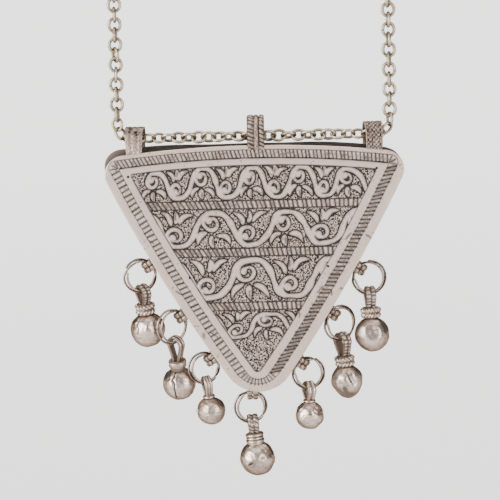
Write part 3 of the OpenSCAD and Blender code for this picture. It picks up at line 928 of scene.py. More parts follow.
class NecklaceLook(PropertyGroup):
    silver_colour: tone("Silver", "Worn silver of the plate", (0.90, 0.725, 0.62))
    chain_colour: tone("Chain", "Yellower silver of the chain", (0.80, 0.67, 0.46))
    dull_colour: tone("Dull silver", "Silver of the bails and edge loops", (0.84, 0.68, 0.575))
    ball_colour: tone("Balls", "Silver of the hollow balls", (0.90, 0.73, 0.62))
    ring_colour: tone("Ring", "Silver of the split rings", (0.49, 0.38, 0.305))
    warm_colour: tone("Warm tint", "Pinkish places in the silver", (0.78, 0.58, 0.52))
    tarnish_colour: tone("Tarnish", "Brown tarnish on sheltered places", (0.31, 0.225, 0.17))
    # Colour of the patina, and of the painted shade in gaps and on inner faces.
    patina_and_shade_colour: tone("Patina", "Near-black patina in lines and pits", (0.028, 0.023, 0.021))
    # Painted dark reflection, laid on round silver towards its outline.
    painted_edge_reflection_colour: tone("Edge tone", "Tan tone of round silver towards its edges", (0.19, 0.13, 0.09))
    edge_tint: tone("Edge tint", "Tint of what round silver mirrors at its edges", (0.50, 0.385, 0.31))
    scratch_colour: tone("Scratch", "Pinkish colour of scratches", (0.62, 0.47, 0.44))


class EngravingSizes(PropertyGroup):
    line_width: length("Line width", "Width of an engraved line", 0.00038)
    line_depth: length("Line depth", "Depth of an engraved line", 0.00014)
    ground_depth: length("Ground depth", "How far the punched ground is sunk", 0.00009)
    hatch_spacing: length("Hatch spacing", "Distance between the strokes of the border", 0.00108)
    stem_width: length("Stem width", "Width of the scroll's stem", 0.00155)
    seed: IntProperty(name="Seed", description="Changes the hand of the engraver", default=7, min=0)


class WearSizes(PropertyGroup):
    plate_swell: length("Plate swell", "Unevenness of the plate", 0.00006)
    back_dent: length("Back dents", "Depth of the dents in the back sheet", 0.00035)
    ball_dent: length("Ball unevenness", "Unevenness of the hollow balls", 0.00009)
    link_wander: FloatProperty(name="Link wander", description="How uneven the chain's links are",
                               default=0.03, min=0.0, max=0.1, subtype="FACTOR")


class StudioSettings(PropertyGroup):
    camera_distance: length("Camera distance", "From the camera to the middle of the view", 1.0, 0.3, 5.0)
    field_width: length("Field width", "Width of the view at the necklace", 0.150, 0.05, 1.0)
    elevation: angle("Elevation", "Camera height above the horizon", 9.5)
    roll: angle("Roll", "Turn of the camera about its own axis", 1.3)
    floor_drop: length("Floor", "How far the floor lies under the lowest ball", 0.03)
    floor_colour: tone("Floor colour", "Pale floor", (0.82, 0.82, 0.81))
    key_power: power("Left box", "Power of the left softbox", 10.5)
    fill_power: power("Right box", "Power of the right softbox", 4.5)
    top_power: power("Top light", "Power of the overhead light", 2.5)
    floor_power: power("Floor light", "Power of the light on the floor behind", 85.0)
    seen_light: FloatProperty(
        name="Seen brightness", default=2.8, min=0.0,
        description="How bright the floor and the room look, whatever light falls on them")
    room_light: FloatProperty(name="Room light", description="Even light from all round", default=0.11,
                              min=0.0)


# The chain


def chain_route():
    """The closed route of the links' centres, in the frame's millimetres."""
    start = [0, -REACH, -HANG]

    def half(strand):
        a = np.radians(np.arange(9) * 90 / 8)
        turn = np.column_stack([strand - TURN_R + TURN_R * np.sin(a), np.full(9, -REACH),
                                -HANG + TURN_R - TURN_R * np.cos(a)])
        neck = spline(np.array(NECK_ROUTE, float), 12)
        neck[:, 0] += (strand - NECK_ROUTE[0][0]) * np.interp(neck[:, 2], [-100, -20], [1, 0])
        return np.vstack([turn, neck])

    left = half(STRAND_LEFT)[::-1] * [-1, 1, 1]
    return np.vstack([start, half(STRAND_RIGHT), [0, 0, 0], left, start])


def chain_links():
    """Centre and turning of each link, as the solids have them."""
    route = chain_route()
    run = run_along(route)
    total = run[-1]
    count = 2 * math.ceil(total / LINK_STEP / 2)
    step = total / count

    def at(s):
        return np.array([np.interp(s % total, run, column) for column in route.T])

    for i in range(count):
        s = (i + 0.5) * step
        t = unit(at(s + step / 3) - at(s - step / 3))
        twist = 45 * np.interp(min(s, total - s), [TURNED_RUN, TURNED_RUN + TURN_BACK_RUN], [1, 0])
        roll = twist + 90 * (i % 2) + LINK_ROLL * math.sin(math.radians(i * 67))
        yield at(s), (about("Y", -math.degrees(math.atan2(t[2], t[0])))
                      @ about("Z", math.degrees(math.asin(t[1]))) @ about("X", roll))


def turn_between(a, b):
    return np.abs((a - b + math.pi) % TAU - math.pi)


def link_mesh(rng, wander):
    """One link of stout wire, a little longer than wide, with the dark seam where its ends meet."""
    a, b = all_round(LINK_AROUND), all_round(LINK_SIDES)
    oval = 1 + wander * 0.5 * np.cos(2 * a + rng.uniform(0, 6.28))
    seam = np.exp(-(turn_between(a, rng.uniform(0, TAU)) / 0.09) ** 2)
    thick = LINK_WIRE_R * (1 + wander * np.cos(a * 3 + rng.uniform(0, 6.28)) * 0.6 - 0.13 * seam)
    middle = circle(a) * (LINK_HALF_LONG, LINK_HALF_WIDE) * oval[:, None]
    out = unit(circle(a) * (LINK_HALF_WIDE, LINK_HALF_LONG))
    lift = LINK_WIRE * wander * 0.8 * np.sin(a + rng.uniform(0, 6.28))
    flat = middle[:, None] + out[:, None] * (thick[:, None] * np.cos(b))[..., None]
    points = np.concatenate([flat, (lift[:, None] + thick[:, None] * np.sin(b))[..., None]], -1)
    # Painted shade on the inner side of the wire and at the link's ends, where links pass through each
    # other; the seam is a real dark joint.
    inner = 0.5 - 0.5 * np.cos(b)
    dark = 0.6 * inner ** 2 + 0.85 * seam[:, None] + 0.3 * np.abs(np.cos(a[:, None])) ** 3
    return points.reshape(-1, 3), np.clip(dark, 0, 0.9)


# Strips. A relief gives the height of a strip's outer face and how dark it is, from u -1 to 1
# over its width and s along it in millimetres.


def uneven(u, s, size, seed, half_width=BAIL_W / 2):
    return waves(np.stack([u * half_width, s], -1), size, seed)


def pitted(u, s, seed):
    """The left bail: a plain strip with faint ridges along it, a raised rim and deep pits."""
    rng = np.random.default_rng(seed)
    pits = np.zeros(u.shape)
    for count, span, run, sizes in ((26, 0.85, (6.0, 12), (0.4, 0.85)), (18, 0.8, (1, 18), (0.2, 0.35))):
        for pu, ps, size in zip(*[rng.uniform(*ends, count) for ends in ((-span, span), run, sizes)]):
            away = ((u - pu) * BAIL_W / 2) ** 2 + (s - ps) ** 2
            pits = np.maximum(pits, np.exp(-away / (size * 0.6) ** 2))
    ridges = 0.05 * np.cos(u * 9.5) + 0.04 * uneven(u, s, 0.9, seed)
    rim = 0.14 * soft_step(0.78, 0.93, np.abs(u))
    crown = 0.32 * soft_step(4.6, 7.2, s) * (1 + 0.5 * uneven(u, s, 0.8, seed + 1))
    return (ridges + rim - 0.22 * pits,
            0.9 * pits + crown + 0.25 * soft_step(0.2, -0.7, ridges / 0.05) * (rim < 0.07))


def granulated(u, s, seed):
    """The right bail: rows of grains set as a slanting mesh."""
    across, along = u * BAIL_W / 2, s * 0.9
    wobble = 0.5 * uneven(u, s, 1.6, seed)
    grains = (np.abs(np.sin(math.pi * ((across + along) / 1.24 + wobble * 0.4)))
              * np.abs(np.sin(math.pi * ((across - along) / 1.24 - wobble * 0.3))))
    rim = 0.10 * soft_step(0.84, 0.95, np.abs(u))
    sides = 0.12 * soft_step(0.3, 0.5, np.abs(u - 0.1))
    return (0.26 * grains ** 0.8 + rim - 0.05,
            np.clip(0.98 + sides - 1.35 * grains, 0, 1) * (np.abs(u) < 0.92))


def beaded(u, s, columns, height, seed, tilt=0.0):
    """Columns along a strip, each with its middle, half width and the pitch of its beads, or a
    pitch of 0 where it is plain, with dark grooves between."""
    best, dark = np.full(u.shape, -0.05), np.full(u.shape, 0.9)
    for k, (middle, half, pitch) in enumerate(columns):
        off = (u - middle) / half
        across = np.sqrt(np.clip(1 - off ** 2, 0, 1))
        if pitch:
            wander = 0.12 * waves(np.stack([s, 0 * s + k], -1), 1.7, seed + k)
            along = np.abs(np.cos(math.pi * (s / pitch + 0.31 * k + tilt * off + wander)))
        else:
            along = 0.78 + 0.12 * uneven(u, s, 0.9, seed + k)
        best = np.maximum(best, height * across * (0.2 + 0.8 * along ** 0.8))
        dark = np.minimum(dark, 1.3 - 1.4 * across * along ** 0.9)
    return best, np.clip(dark, 0, 0.95)


def two_rows(middle, half, pitch, height, seed, tilt=0.0):
    """The relief of a strip with two rows of beads."""
    return partial(beaded, columns=[(-middle, half, pitch), (middle, half, pitch)], height=height,
                   seed=seed, tilt=tilt)


def ridged(u, s, ridges, height, seed):
    """A strip drawn with plain ridges along it."""
    wave = 0.5 + 0.5 * np.cos(math.pi * ridges * (u + 1) + math.pi)
    return (height * np.sqrt(wave) + 0.02 * uneven(u, s, 0.8, seed, 1.4),
            np.clip(0.75 - 1.3 * wave, 0, 1))


def arch_path(radius, leg, spacing=0.13):
    """An upturned U in its own plane: forward leg, arch and back leg, as across and up."""
    arch = radius * circle(np.linspace(math.pi, 0, 60))
    return even_stations(np.vstack([[-radius, -leg], arch, [radius, -leg]]), spacing)


def strip(metal, path, across, half_width, thickness, relief, columns, inner_columns=8):
    """A strip bent along a path, with its own half width at each station."""
    u = np.linspace(-1, 1, columns)
    height, dark = relief(*np.meshgrid(u, run_along(path)))
    round_off = 0.28 * thickness * np.abs(u) ** 10
    width = half_width[:, None]
    inner = np.linspace(1, -1, inner_columns) * width * 0.97
    outer_face = np.stack([u * width, thickness / 2 + height - round_off], -1)
    inner_face = np.stack([inner, np.full(inner.shape, -thickness / 2)], -1)
    points, faces = sweep(path, across, np.concatenate([outer_face, inner_face], 1))
    # The inner face is painted dark: painted shade under the strip.
    metal.add(points, faces, np.concatenate([dark, np.full(inner.shape, 0.55)], 1))


# The bails, by the name of the piece: place along the top wall, radius, length of the legs,
# thickness, relief, rise, width, share of that width at the foot and the top, turn, and how
# finely it is drawn across.
BAIL_MIDDLE_R = BAIL_R + BAIL_T / 2 - 0.05
BAILS = {
    "left_bail": (LEFT_BAIL_X, BAIL_MIDDLE_R, 4.9, BAIL_T * 0.85, partial(pitted, seed=71),
                  0.0, BAIL_W, (0.9, 1.08), -7, 30),
    "right_bail": (RIGHT_BAIL_X, BAIL_MIDDLE_R, 4.9, BAIL_T * 0.85, partial(granulated, seed=72),
                   0.0, BAIL_W, (0.92, 1.04), 7, 30),
    "middle_bail": (MIDDLE_BAIL_X, MIDDLE_BAIL_R + 0.25, 3.6, 0.5,
                    partial(beaded, columns=[(-0.57, 0.41, 1.12), (0.07, 0.27, 0), (0.7, 0.33, 1.2)],
                            height=0.62, seed=73, tilt=0.35),
                    MIDDLE_BAIL_RISE, MIDDLE_BAIL_W, (1, 1), 0, 44),
}


def bail(metal, x, radius, leg, thickness, relief, rise, width, spread, yaw, columns):
    """A strip bent over the chain and soldered to the top wall in front and behind."""
    flat = arch_path(radius, leg + rise)
    path = np.column_stack([np.zeros(len(flat)), flat[:, 0], flat[:, 1] + rise])
    level = (flat[:, 1] - flat[:, 1].min()) / np.ptp(flat[:, 1])
    turn = about("Z", yaw)
    strip(metal, path @ turn.T + [x, 0, 0], turn[:, 0], width / 2 * np.interp(level, [0, 1], spread),
          thickness, relief, columns)


def loop_height(side):
    return TIP_LOOP_H if side == 0 else LOOP_H


def edge_loop(metal, side, z, seed):
    """Two beaded rows, arched from the front of the side wall to its back."""
    p, out, along = wall_place(side, z)
    inward = loop_height(side) - LOOP_CLEAR / 2
    flat = arch_path(LOOP_CLEAR / 2 + LOOP_T / 2 + 0.1, inward + 0.35, 0.12)
    run = run_along(flat)
    half = (LOOP_W + 0.4) / 4
    for k, offset in enumerate((-half, half)):
        path = upright(p + along * offset + out * (flat[:, 1:] + inward), flat[:, 0])
        bead = np.abs(np.cos(math.pi * (run / 1.5 + 0.1 * k)
                             + 0.3 * waves(run[:, None], 3.0, seed + k)))
        section = round_section(0.55 + 0.47 * np.sqrt(bead)) * (half, LOOP_T / 2 + 0.2)
        points, faces = sweep(path, (along[0], 0, along[1]), section)
        metal.add(points, faces, np.repeat(1.05 - 1.2 * bead ** 0.9, section.shape[1]))


# Rings and drops


class Hanging:
    """A piece that hangs with its own centre, and its own axes right, back and up."""

    def to_case(self, local):
        return self.centre + np.asarray(local, float) @ self.axes


class HungRing(Hanging):
    """Where a split ring hangs."""

    def __init__(self, row):
        side, z, out_by, along_by, yaw, self.radius, self.cut = row
        p, out, along = wall_place(side, z)
        pivot = p + out * loop_height(side) / 2
        reach = p + out * out_by + along * along_by - pivot
        self.wall = math.atan2(-out[1], -out[0])
        turn = about("Z", yaw)
        self.axes = turn.T
        self.centre = np.array([pivot[0], 0, pivot[1]]) + turn @ [reach[0], 0, reach[1]]


def split_ring(ring, seed):
    """Wire wound twice round, with a jog where it changes over and two cut ends."""
    turns = 2.0 - 0.035
    a = np.linspace(0, TAU * turns, 190)
    at, middle = math.radians(ring.cut) + 0.1 + a, math.pi * turns
    back = soft_step(middle - 0.75, middle + 0.75, a)
    # Away from its loop the front turn is drawn smaller and the back turn larger.
    free = soft_step(0.35, 0.8, turn_between(at, ring.wall))
    shrink = 0.3 + 0.3 * np.abs(np.cos(at)) ** 1.5
    r = (ring.radius - RING_WIRE / 2 + 0.02 * waves(a[:, None], 2.2, seed)
         + free * (0.27 * back - shrink * (1 - back)))
    wire = 0.385 * RING_WIRE * (1 + 0.025 * waves(a[:, None], 0.9, seed + 1))
    wire[[0, 1, -2, -1]] *= 0.86
    section = round_section(wire)
    local = upright(r[:, None] * circle(at), RING_TURN * (back - 0.5))
    points, faces = sweep(ring.to_case(local), ring.axes[1], section)
    # The line between the two turns is painted dark: painted shade where the turns lie against each other.
    facing = circle(all_round(section.shape[1])) @ (0.78, 0.62) * np.sign(0.5 - back)[:, None]
    spots = soft_step(0, 1, waves(a[:, None], 1.1, seed + 2))[:, None]
    return points, faces, 0.95 * soft_step(0.45, 0.9, facing) + 0.12 * spots


class HungDrop(Hanging):
    """Where a drop hangs on its ring, from the ring's centre, and its heights and widths."""

    def __init__(self, ring, row):
        (self.ball_r, ball_down, top_down, end_down, self.collar_r,
         self.strip_w, lean, tilt, self.longer, turn) = row
        self.top, self.end, self.ball_top = -top_down, -end_down, self.ball_r - ball_down
        lean, tilt = about("Y", -lean), about("X", tilt)
        up = np.array([0, 0, RING_WIRE / 2 - ring.radius])
        self.axes = (lean @ tilt @ about("Z", turn)).T @ ring.axes
        self.centre = ring.to_case(lean @ (up - tilt @ up))
        inner = ring.radius - RING_WIRE
        self.strip_top = STRIP_OFF - math.sqrt(inner ** 2 - (self.strip_w / 2) ** 2)
        self.ball = self.to_case([0, 0, -ball_down])


def strip_bail(metal, drop, relief):
    """The strip bent over the ring, its two legs closing on the collar."""
    top, low = drop.strip_top - STRIP_R, drop.top - 0.25
    leg = 0.2 + STRIP_T * 0.72
    bend = (STRIP_R + STRIP_T / 2) * circle(np.linspace(math.pi + 0.12, -0.12, 50)) + (0, top)
    path = even_stations(np.vstack([[-leg, low], bend, [leg, low]]), 0.12)
    level = np.clip((path[:, 1] - low) / (top - low), 0, 1)
    local = np.column_stack([np.zeros(len(path)), path])
    strip(metal, drop.to_case(local), drop.axes[0], drop.strip_w / 2 * (0.88 + 0.12 * level),
          STRIP_T * 0.86, relief, 24)


def wind(metal, drop, a, radius, height, section, dark):
    """A turn of wire wound round the neck of a drop."""
    local = np.column_stack([radius * circle(a), np.broadcast_to(height, len(a))])
    metal.add(*sweep(drop.to_case(local), drop.axes[2], section, closed=True), dark)


def rope_collar(metal, drop, twist):
    """Two turns of two wires twisted together, each station turned a little further."""
    a, around, size = all_round(150), all_round(14), (drop.top - drop.end) / 2
    for k, swell in enumerate((-0.06, 0.08)):
        radius = drop.collar_r - size / 2 + swell
        lobes = np.abs(np.cos(around - (a * round(twist * radius) / 2 * (-1) ** k)[:, None]))
        section = (size * 0.56 * (0.62 + 0.38 * lobes ** 1.5))[..., None] * circle(around)
        wind(metal, drop, a, radius, drop.end + size * (k + 0.5), section,
             0.85 * (1 - soft_step(0.0, 0.75, lobes)))


def wire_collar(metal, drop, rows, radius=None):
    """Plain round wire wound round the neck."""
    a, around, size = all_round(72), all_round(12), (drop.top - drop.end) / rows
    section = round_section(np.full(len(a), size * 0.54), len(around))
    dark = np.tile(0.5 * soft_step(0.2, 1.0, np.abs(np.cos(around))), len(a))
    for k in range(rows):
        wind(metal, drop, a, (radius or drop.collar_r) - size / 2 + 0.1 * math.sin(3 * k + 1),
             drop.end + size * (k + 0.5) + 0.08 * np.sin(a + k), section, dark)


def sleeve(metal, drop, profile, dark):
    """A turned sleeve on the neck of a drop, from its profile of radius and height."""
    metal.add(*lathe(profile, drop.centre, drop.axes), dark)


def flat_collar(metal, drop):
    """A flat band with a lip, over a narrower foot."""
    r, top, end = drop.collar_r, drop.top, drop.end
    sleeve(metal, drop, [
        (r * 0.7, top + 0.05), (r - 0.1, top + 0.02), (r, top - 0.15), (r - 0.02, end + 1.0),
        (r - 0.15, end + 0.85), (r * 0.8, end + 0.75), (r * 0.84, end + 0.6), (r * 0.84, end - 0.1),
        (r * 0.7, end - 0.2)], 0.08)


# The relief of each drop's strip, its collar, and what the collar is made with.
DRESS = [
    (two_rows(0.52, 0.46, 0.95, 0.36, 41), rope_collar, (6.0,)),
    (partial(ridged, ridges=2, height=0.16, seed=42), flat_collar, ()),
    (partial(ridged, ridges=3, height=0.17, seed=43), wire_collar, (1, 1.75)),
    (two_rows(0.5, 0.47, 1.3, 0.32, 44, 0.35), wire_collar, (3,)),
    (partial(ridged, ridges=2, height=0.2, seed=45), wire_collar, (1, 1.8)),
    (two_rows(0.52, 0.46, 1.1, 0.36, 46), rope_collar, (6.5,)),
    (two_rows(0.5, 0.46, 1.05, 0.34, 47), rope_collar, (8.0,)),
]
FOOTED_DROP = 4

VIEW_HEIGHT = math.radians(9.5)
TOWARDS_VIEW = np.array([0.0, -math.cos(VIEW_HEIGHT), math.sin(VIEW_HEIGHT)])
VIEW_UP = np.array([0.0, math.sin(VIEW_HEIGHT), math.cos(VIEW_HEIGHT)])


def from_view(u, v):
    """A direction from a ball's middle to the place that shows u across and v up, in radii."""
    towards = math.sqrt(max(0.0, 1 - u * u - v * v))
    return unit(np.array([u, 0, 0]) + v * VIEW_UP + towards * TOWARDS_VIEW)


def angle_between(n, m):
    return np.arccos(np.clip((n * m).sum(-1), -1, 1))


def crack_distance(n, line):
    """Angle from each direction to the nearest leg of a cracked line over the ball."""
    turns = [from_view(*at) for at in line]
    return np.min([angle_between(n, unit(off_segment(n, a, b))) for a, b in zip(turns, turns[1:])],
                  axis=0)


def ball_shell(metal, drop, marks, unevenness, seed):
    """A hollow ball of two soldered halves, with its dents, cracks, tarnish stains and painted shade."""
    ball = bmesh.new()
    bmesh.ops.create_icosphere(ball, subdivisions=6, radius=1.0)
    n = np.array([v.co[:] for v in ball.verts])
    faces = [[v.index for v in f.verts] for f in ball.faces]
    ball.free()
    up = drop.axes[2]
    level = n @ up
    seam = np.exp(-(level / 0.018) ** 2)
    r = drop.ball_r + unevenness * (waves(n, 1.1, seed) + 0.4 * waves(n, 0.35, seed + 1)) - 0.035 * seam
    dark = np.maximum(0.3 * seam, 0.8 * soft_step(0.86, 0.99, level))
    for kind, *mark in marks:
        if kind == "crack":
            line, width, depth, stain = mark
            away = crack_distance(n, line) / width
            r -= depth * np.exp(-away ** 2)
            spot = stain * soft_step(1.5, 0.5, away)
        elif kind == "dent":
            u, v, size, depth, stain = mark
            away = angle_between(n, from_view(u, v)) / size
            r -= depth * (soft_step(1.0, 0.0, away) - 0.16 * np.exp(-((away - 1.05) / 0.16) ** 2))
            spot = stain * soft_step(0.75, 0.0, away)
        else:
            # Tarnish stains and painted shade, most of them low on the ball's sides.
            u, v, size, stain = mark
            away = angle_between(n, from_view(u, v)) / size
            spot = stain * soft_step(1.0, 0.3, away + 0.25 * waves(n, 0.5, seed + 5))
        dark = np.maximum(dark, spot)
    points = n * r[:, None]
    if drop.longer:
        more = (drop.longer * np.maximum(0, -level))[:, None]
        axial = (points @ up)[:, None] * up
        points = axial + (points - axial) * (1 - 0.1 * more) - up * more
    metal.add(drop.ball + points, faces, dark)


def dress_drop(metal, drop, number, unevenness):
    """Each drop's own strip, collar and ball, as the photo shows them."""
    relief, collar, made_with = DRESS[number - 1]
    strip_bail(metal, drop, relief)
    collar(metal, drop, *made_with)
    r, top, end, low = drop.collar_r, drop.top, drop.end, drop.ball_top - 0.25
    core = r * 0.8
    sleeve(metal, drop, [
        (core * 0.3, top + 0.1), (core, top + 0.1), (core * 1.02, (top + end) / 2), (core * 1.08, end),
        (core, low), (core * 0.3, low)], 0.7)
    if number == FOOTED_DROP:
        sleeve(metal, drop, [
            (core * 0.8, end + 0.35), (r - 0.25, end + 0.35), (r - 0.1, end + 0.1), (r - 0.1, end - 0.5),
            (r - 0.35, end - 0.75), (core * 0.8, end - 0.75)], 0.1)
    ball_shell(metal, drop, BALL_MARKS[number - 1], unevenness, 60 + number)


# Operators


class NECKLACE_OT_chain(Operator):
    """Makes the neck chain of round wire links"""

    bl_idname = "necklace.chain"
    bl_label = "Neck chain"

    def execute(self, context):
        rng = np.random.default_rng(21)
        metal = Metalwork()
        faces = grid_faces(LINK_AROUND, LINK_SIDES, close_rows=True)
        for centre, turn in chain_links():
            points, dark = link_mesh(rng, context.scene.necklace_wear.link_wander)
            at = centre - CHAIN_LINE
            in_bail = math.hypot(abs(at[0]) - RIGHT_BAIL_X, at[2]) < IN_BAIL
            tilt, swerve, roll = rng.normal(0, LINK_LOOSENESS) * (not in_bail)
            loose = turn @ about("Y", tilt) @ about("Z", swerve) @ about("X", roll)
            size = IN_BAIL_SIZE if in_bail else 1.0
            metal.add(at + size * points @ loose.T, faces, dark)
        metal.finish("neck_chain_links", silver("chain"), "chain_silver", "chain", "neck_chain")
        return {"FINISHED"}


class NECKLACE_OT_plate(Operator):
    """Makes the engraved front plate with its border, bands, scroll and pin holes"""

    bl_idname = "necklace.plate"
    bl_label = "Front plate"

    ROUND = 0.42
    ROUND_INSETS = (0.0, 0.03, 0.09, 0.18, 0.29, ROUND)
    CHAMFER = 0.12
    HOLE_SIDES = 16

    def execute(self, context):
        sizes, wear = context.scene.necklace_engraving, context.scene.necklace_wear
        cut = Engraving(sizes)
        loops = [PLATE_EDGE.loop(inset) for inset in self.ROUND_INSETS]
        edge = len(loops[0])
        hole_edge = circle(all_round(self.HOLE_SIDES))
        holes = [np.array(p) + hole_edge * PIN_HOLE_R for p in PIN_HOLES]
        near_holes = [np.array(p) + hole_edge * (PIN_HOLE_R + d) for p in PIN_HOLES for d in (0.12, 0.28)]
        moving = cut.stations()
        moving = moving[(PLATE_EDGE.depth(moving) > 0.6) & (to_hole(moving) > PIN_HOLE_R + 0.35)]
        fill = []
        for layer, on_ground in ((jittered_grid(0.30, 31), True), (jittered_grid(0.62, 32), False)):
            ground = (cut.room(layer) > 0) & (cut.beyond_motif(layer) > 0.25)
            free = (PLATE_EDGE.depth(layer) > 0.7) & (to_hole(layer) > PIN_HOLE_R + 0.4)
            fill.append(layer[(ground == on_ground) & free])
        flat, triangles, kept_as = self.joined_up(loops + holes + near_holes + [spaced_out(moving, fill)])
        back_flat, back_triangles, back_as = self.joined_up([PLATE_EDGE.loop(self.CHAMFER)] + holes)

        line, dark, ground = cut.relief(flat)
        # Painted shade round each pin hole, so that the empty hole reads dark.
        dark = np.maximum(dark, soft_step(PIN_HOLE_R + 0.14, PIN_HOLE_R, to_hole(flat)))
        front = upright(flat, CASE_FRONT + self.sunk(flat, line, ground, sizes, wear))
        side = upright(loops[0], PLATE_BACK - self.CHAMFER)
        back = upright(back_flat, PLATE_BACK)

        before_back = len(front) + edge
        on_side, back_as = len(front) + np.arange(edge), back_as + before_back
        faces = triangles.tolist() + (back_triangles[:, ::-1] + before_back).tolist()
        faces += joined(kept_as[:edge], on_side) + joined(on_side, back_as[:edge])
        for first in range(0, len(holes) * self.HOLE_SIDES, self.HOLE_SIDES):
            hole = first + np.arange(self.HOLE_SIDES)
            faces += joined(back_as[edge + hole], kept_as[len(loops) * edge + hole])
        metal = Metalwork()
        metal.add(np.vstack([front, side, back]), faces,
                  np.concatenate([dark, np.full(edge, 0.3), np.full(len(back), 0.8)]))
        metal.finish("engraved_front_plate", silver("plate"), "plate_silver", "amulet", "front_plate",
                     marks={"ground": np.concatenate([ground, np.zeros(edge + len(back))])})
        return {"FINISHED"}

    def joined_up(self, layers):
        """Triangles between layers of flat points, with the pin holes left open."""
        flat, triangles, kept_as = triangulate(np.vstack(layers))
        return flat, triangles[to_hole(flat[triangles].mean(1)) >= PIN_HOLE_R * 0.98], kept_as

    def sunk(self, flat, line, ground, sizes, wear):
        """How far each place lies behind the front: its rounded edge, swell, lines and ground."""
        rng = np.random.default_rng(33)
        inset = np.clip(PLATE_EDGE.depth(flat), 0, None)
        drop = self.ROUND - np.sqrt(self.ROUND ** 2 - np.clip(self.ROUND - inset, 0, None) ** 2)
        swell = in_mm(wear.plate_swell) * (waves(flat, 26, 34) + 0.5 * waves(flat, 9, 35))
        punch = ground * in_mm(sizes.ground_depth) * (1 + 0.9 * rng.uniform(-1, 1, len(flat)))
        cuts = np.maximum(line * in_mm(sizes.line_depth), punch)
        return drop + swell * soft_step(0.0, 1.2, inset) + cuts


class NECKLACE_OT_case(Operator):
    """Makes the side wall and the back sheet of the case"""

    bl_idname = "necklace.case"
    bl_label = "Case"

    # The depth of each loop of the wall: up the inside of the rim, then down the outside to the
    # groove, which is sunk a little, and past it to where the edge bends in.
    INSIDE = (CASE_BACK - WALL_T, 2.0, 0.0, -2.0, PLATE_BACK)
    OUTSIDE = (PLATE_BACK, -3.2, -2.4, -1.6, -0.8, 0.0, 0.8, 1.6, 2.4, 3.0, 3.25)
    GROOVE, GROOVE_DEPTH, PAST_GROOVE = (3.35, 3.45), 0.14, (3.55, 3.95)
    BEND_R, BEND = 0.5, (20, 40, 60, 80)
    MIDDLE = np.array([0, 0, -32.0])
    # The dents of the back sheet: place, size and depth, and how deep they go together at most.
    DENTS = ((-14, -22, 7, 0.5), (18, -30, 5, 0.4), (3, -52, 6, 0.6), (-25, -16, 3, 0.3))
    DEEPEST = 0.5

    def execute(self, context):
        back_dent = in_mm(context.scene.necklace_wear.back_dent)
        steps = [(PLATE_LIP + WALL_T, y) for y in self.INSIDE] + [(PLATE_LIP, y) for y in self.OUTSIDE]
        steps += [(PLATE_LIP + self.GROOVE_DEPTH, y) for y in self.GROOVE]
        steps += [(PLATE_LIP, y) for y in self.PAST_GROOVE]
        steps += [(PLATE_LIP + self.BEND_R * (1 - math.cos(b)),
                   CASE_BACK - self.BEND_R + self.BEND_R * math.sin(b)) for b in np.radians(self.BEND)]
        body, groove = len(self.INSIDE), len(self.INSIDE + self.OUTSIDE)
        rows, dark = [], []
        for k, (inset, y) in enumerate(steps):
            loop = PLATE_EDGE.loop(inset)
            p, (x, z) = upright(loop, y), loop.T
            # The body stands a little proud of the plate along its top, most at the left.
            proud = soft_step(-3.4, 1.5, y) * soft_step(-16.0, -7.5, z) * (k > body)
            corner = soft_step(-30, -44, x)
            p[:, 2] += proud * (1.15 * soft_step(-8, -34, x)
                                + 0.6 * soft_step(5, 24, x) * soft_step(41, 34, x))
            p[:, 0] -= 0.7 * proud * corner
            if body < k <= groove:
                p += unit((p - self.MIDDLE) * [1, 0, 1]) * (0.05 * waves(p, 8, 51) - 0.04)[:, None]
            rows.append(p)
            # Painted shade: the inside of the wall, and the wall along the top of the case, are painted
            # dark; the groove is darker too, and the proud left corner lighter.
            dark.append((0.95 if k < body else 0.85 if y in self.GROOVE else 0.45)
                        + 0.48 * soft_step(-12.0, -7.5, z) - 0.4 * proud * corner)
        edge = len(loop)
        faces = [face[::-1] for face in grid_faces(len(rows), edge)]
        _, triangles, kept_as = triangulate(PLATE_EDGE.loop(steps[0][0]))
        faces += kept_as.argsort()[triangles].tolist()

        field = jittered_grid(1.0, 52)
        field = field[PLATE_EDGE.depth(field) > inset + 0.6]
        flat, triangles, kept_as = triangulate(np.vstack([loop, PLATE_EDGE.loop(inset + 0.3), field]))
        dents = 0.5 * waves(flat, 30, 53) + 0.35 * waves(flat, 11, 54) - 0.8
        for x, z, size, deep in self.DENTS:
            dents -= deep / back_dent * np.exp(-((flat - (x, z)) ** 2).sum(1) / size ** 2)
        sunk = soft_step(0.4, 6, PLATE_EDGE.depth(flat)) * back_dent * -dents
        back = upright(flat, CASE_BACK - self.DEEPEST * np.tanh(sunk / self.DEEPEST))
        numbers = len(rows) * edge + np.arange(len(flat))
        numbers[kept_as[:edge]] = (len(rows) - 1) * edge + np.arange(edge)
        faces += numbers[triangles][:, ::-1].tolist()
        metal = Metalwork()
        metal.add(np.vstack(rows + [back]), faces,
                  np.concatenate(dark + [0.18 + 0.2 * soft_step(0.2, -0.8, dents)]))
        piece = metal.finish("case_wall_and_back", silver("case"), "case_silver", "amulet", "amulet_case")
        drop_unused(piece)
        return {"FINISHED"}


def drop_unused(piece):
    """Takes out points that no face uses."""
    shape = bmesh.new()
    shape.from_mesh(piece.data)
    bmesh.ops.delete(shape, geom=[v for v in shape.verts if not v.link_faces], context="VERTS")
    shape.to_mesh(piece.data)
    shape.free()


class NECKLACE_OT_bails(Operator):
    """Makes the three bails that carry the case on the chain"""

    bl_idname = "necklace.bails"
    bl_label = "Bails"

    def execute(self, context):
        for name, shape in BAILS.items():
            metal = Metalwork()
            bail(metal, *shape)
            metal.finish(name, silver("fitting"), "case_silver", "amulet", "amulet_case")
        return {"FINISHED"}


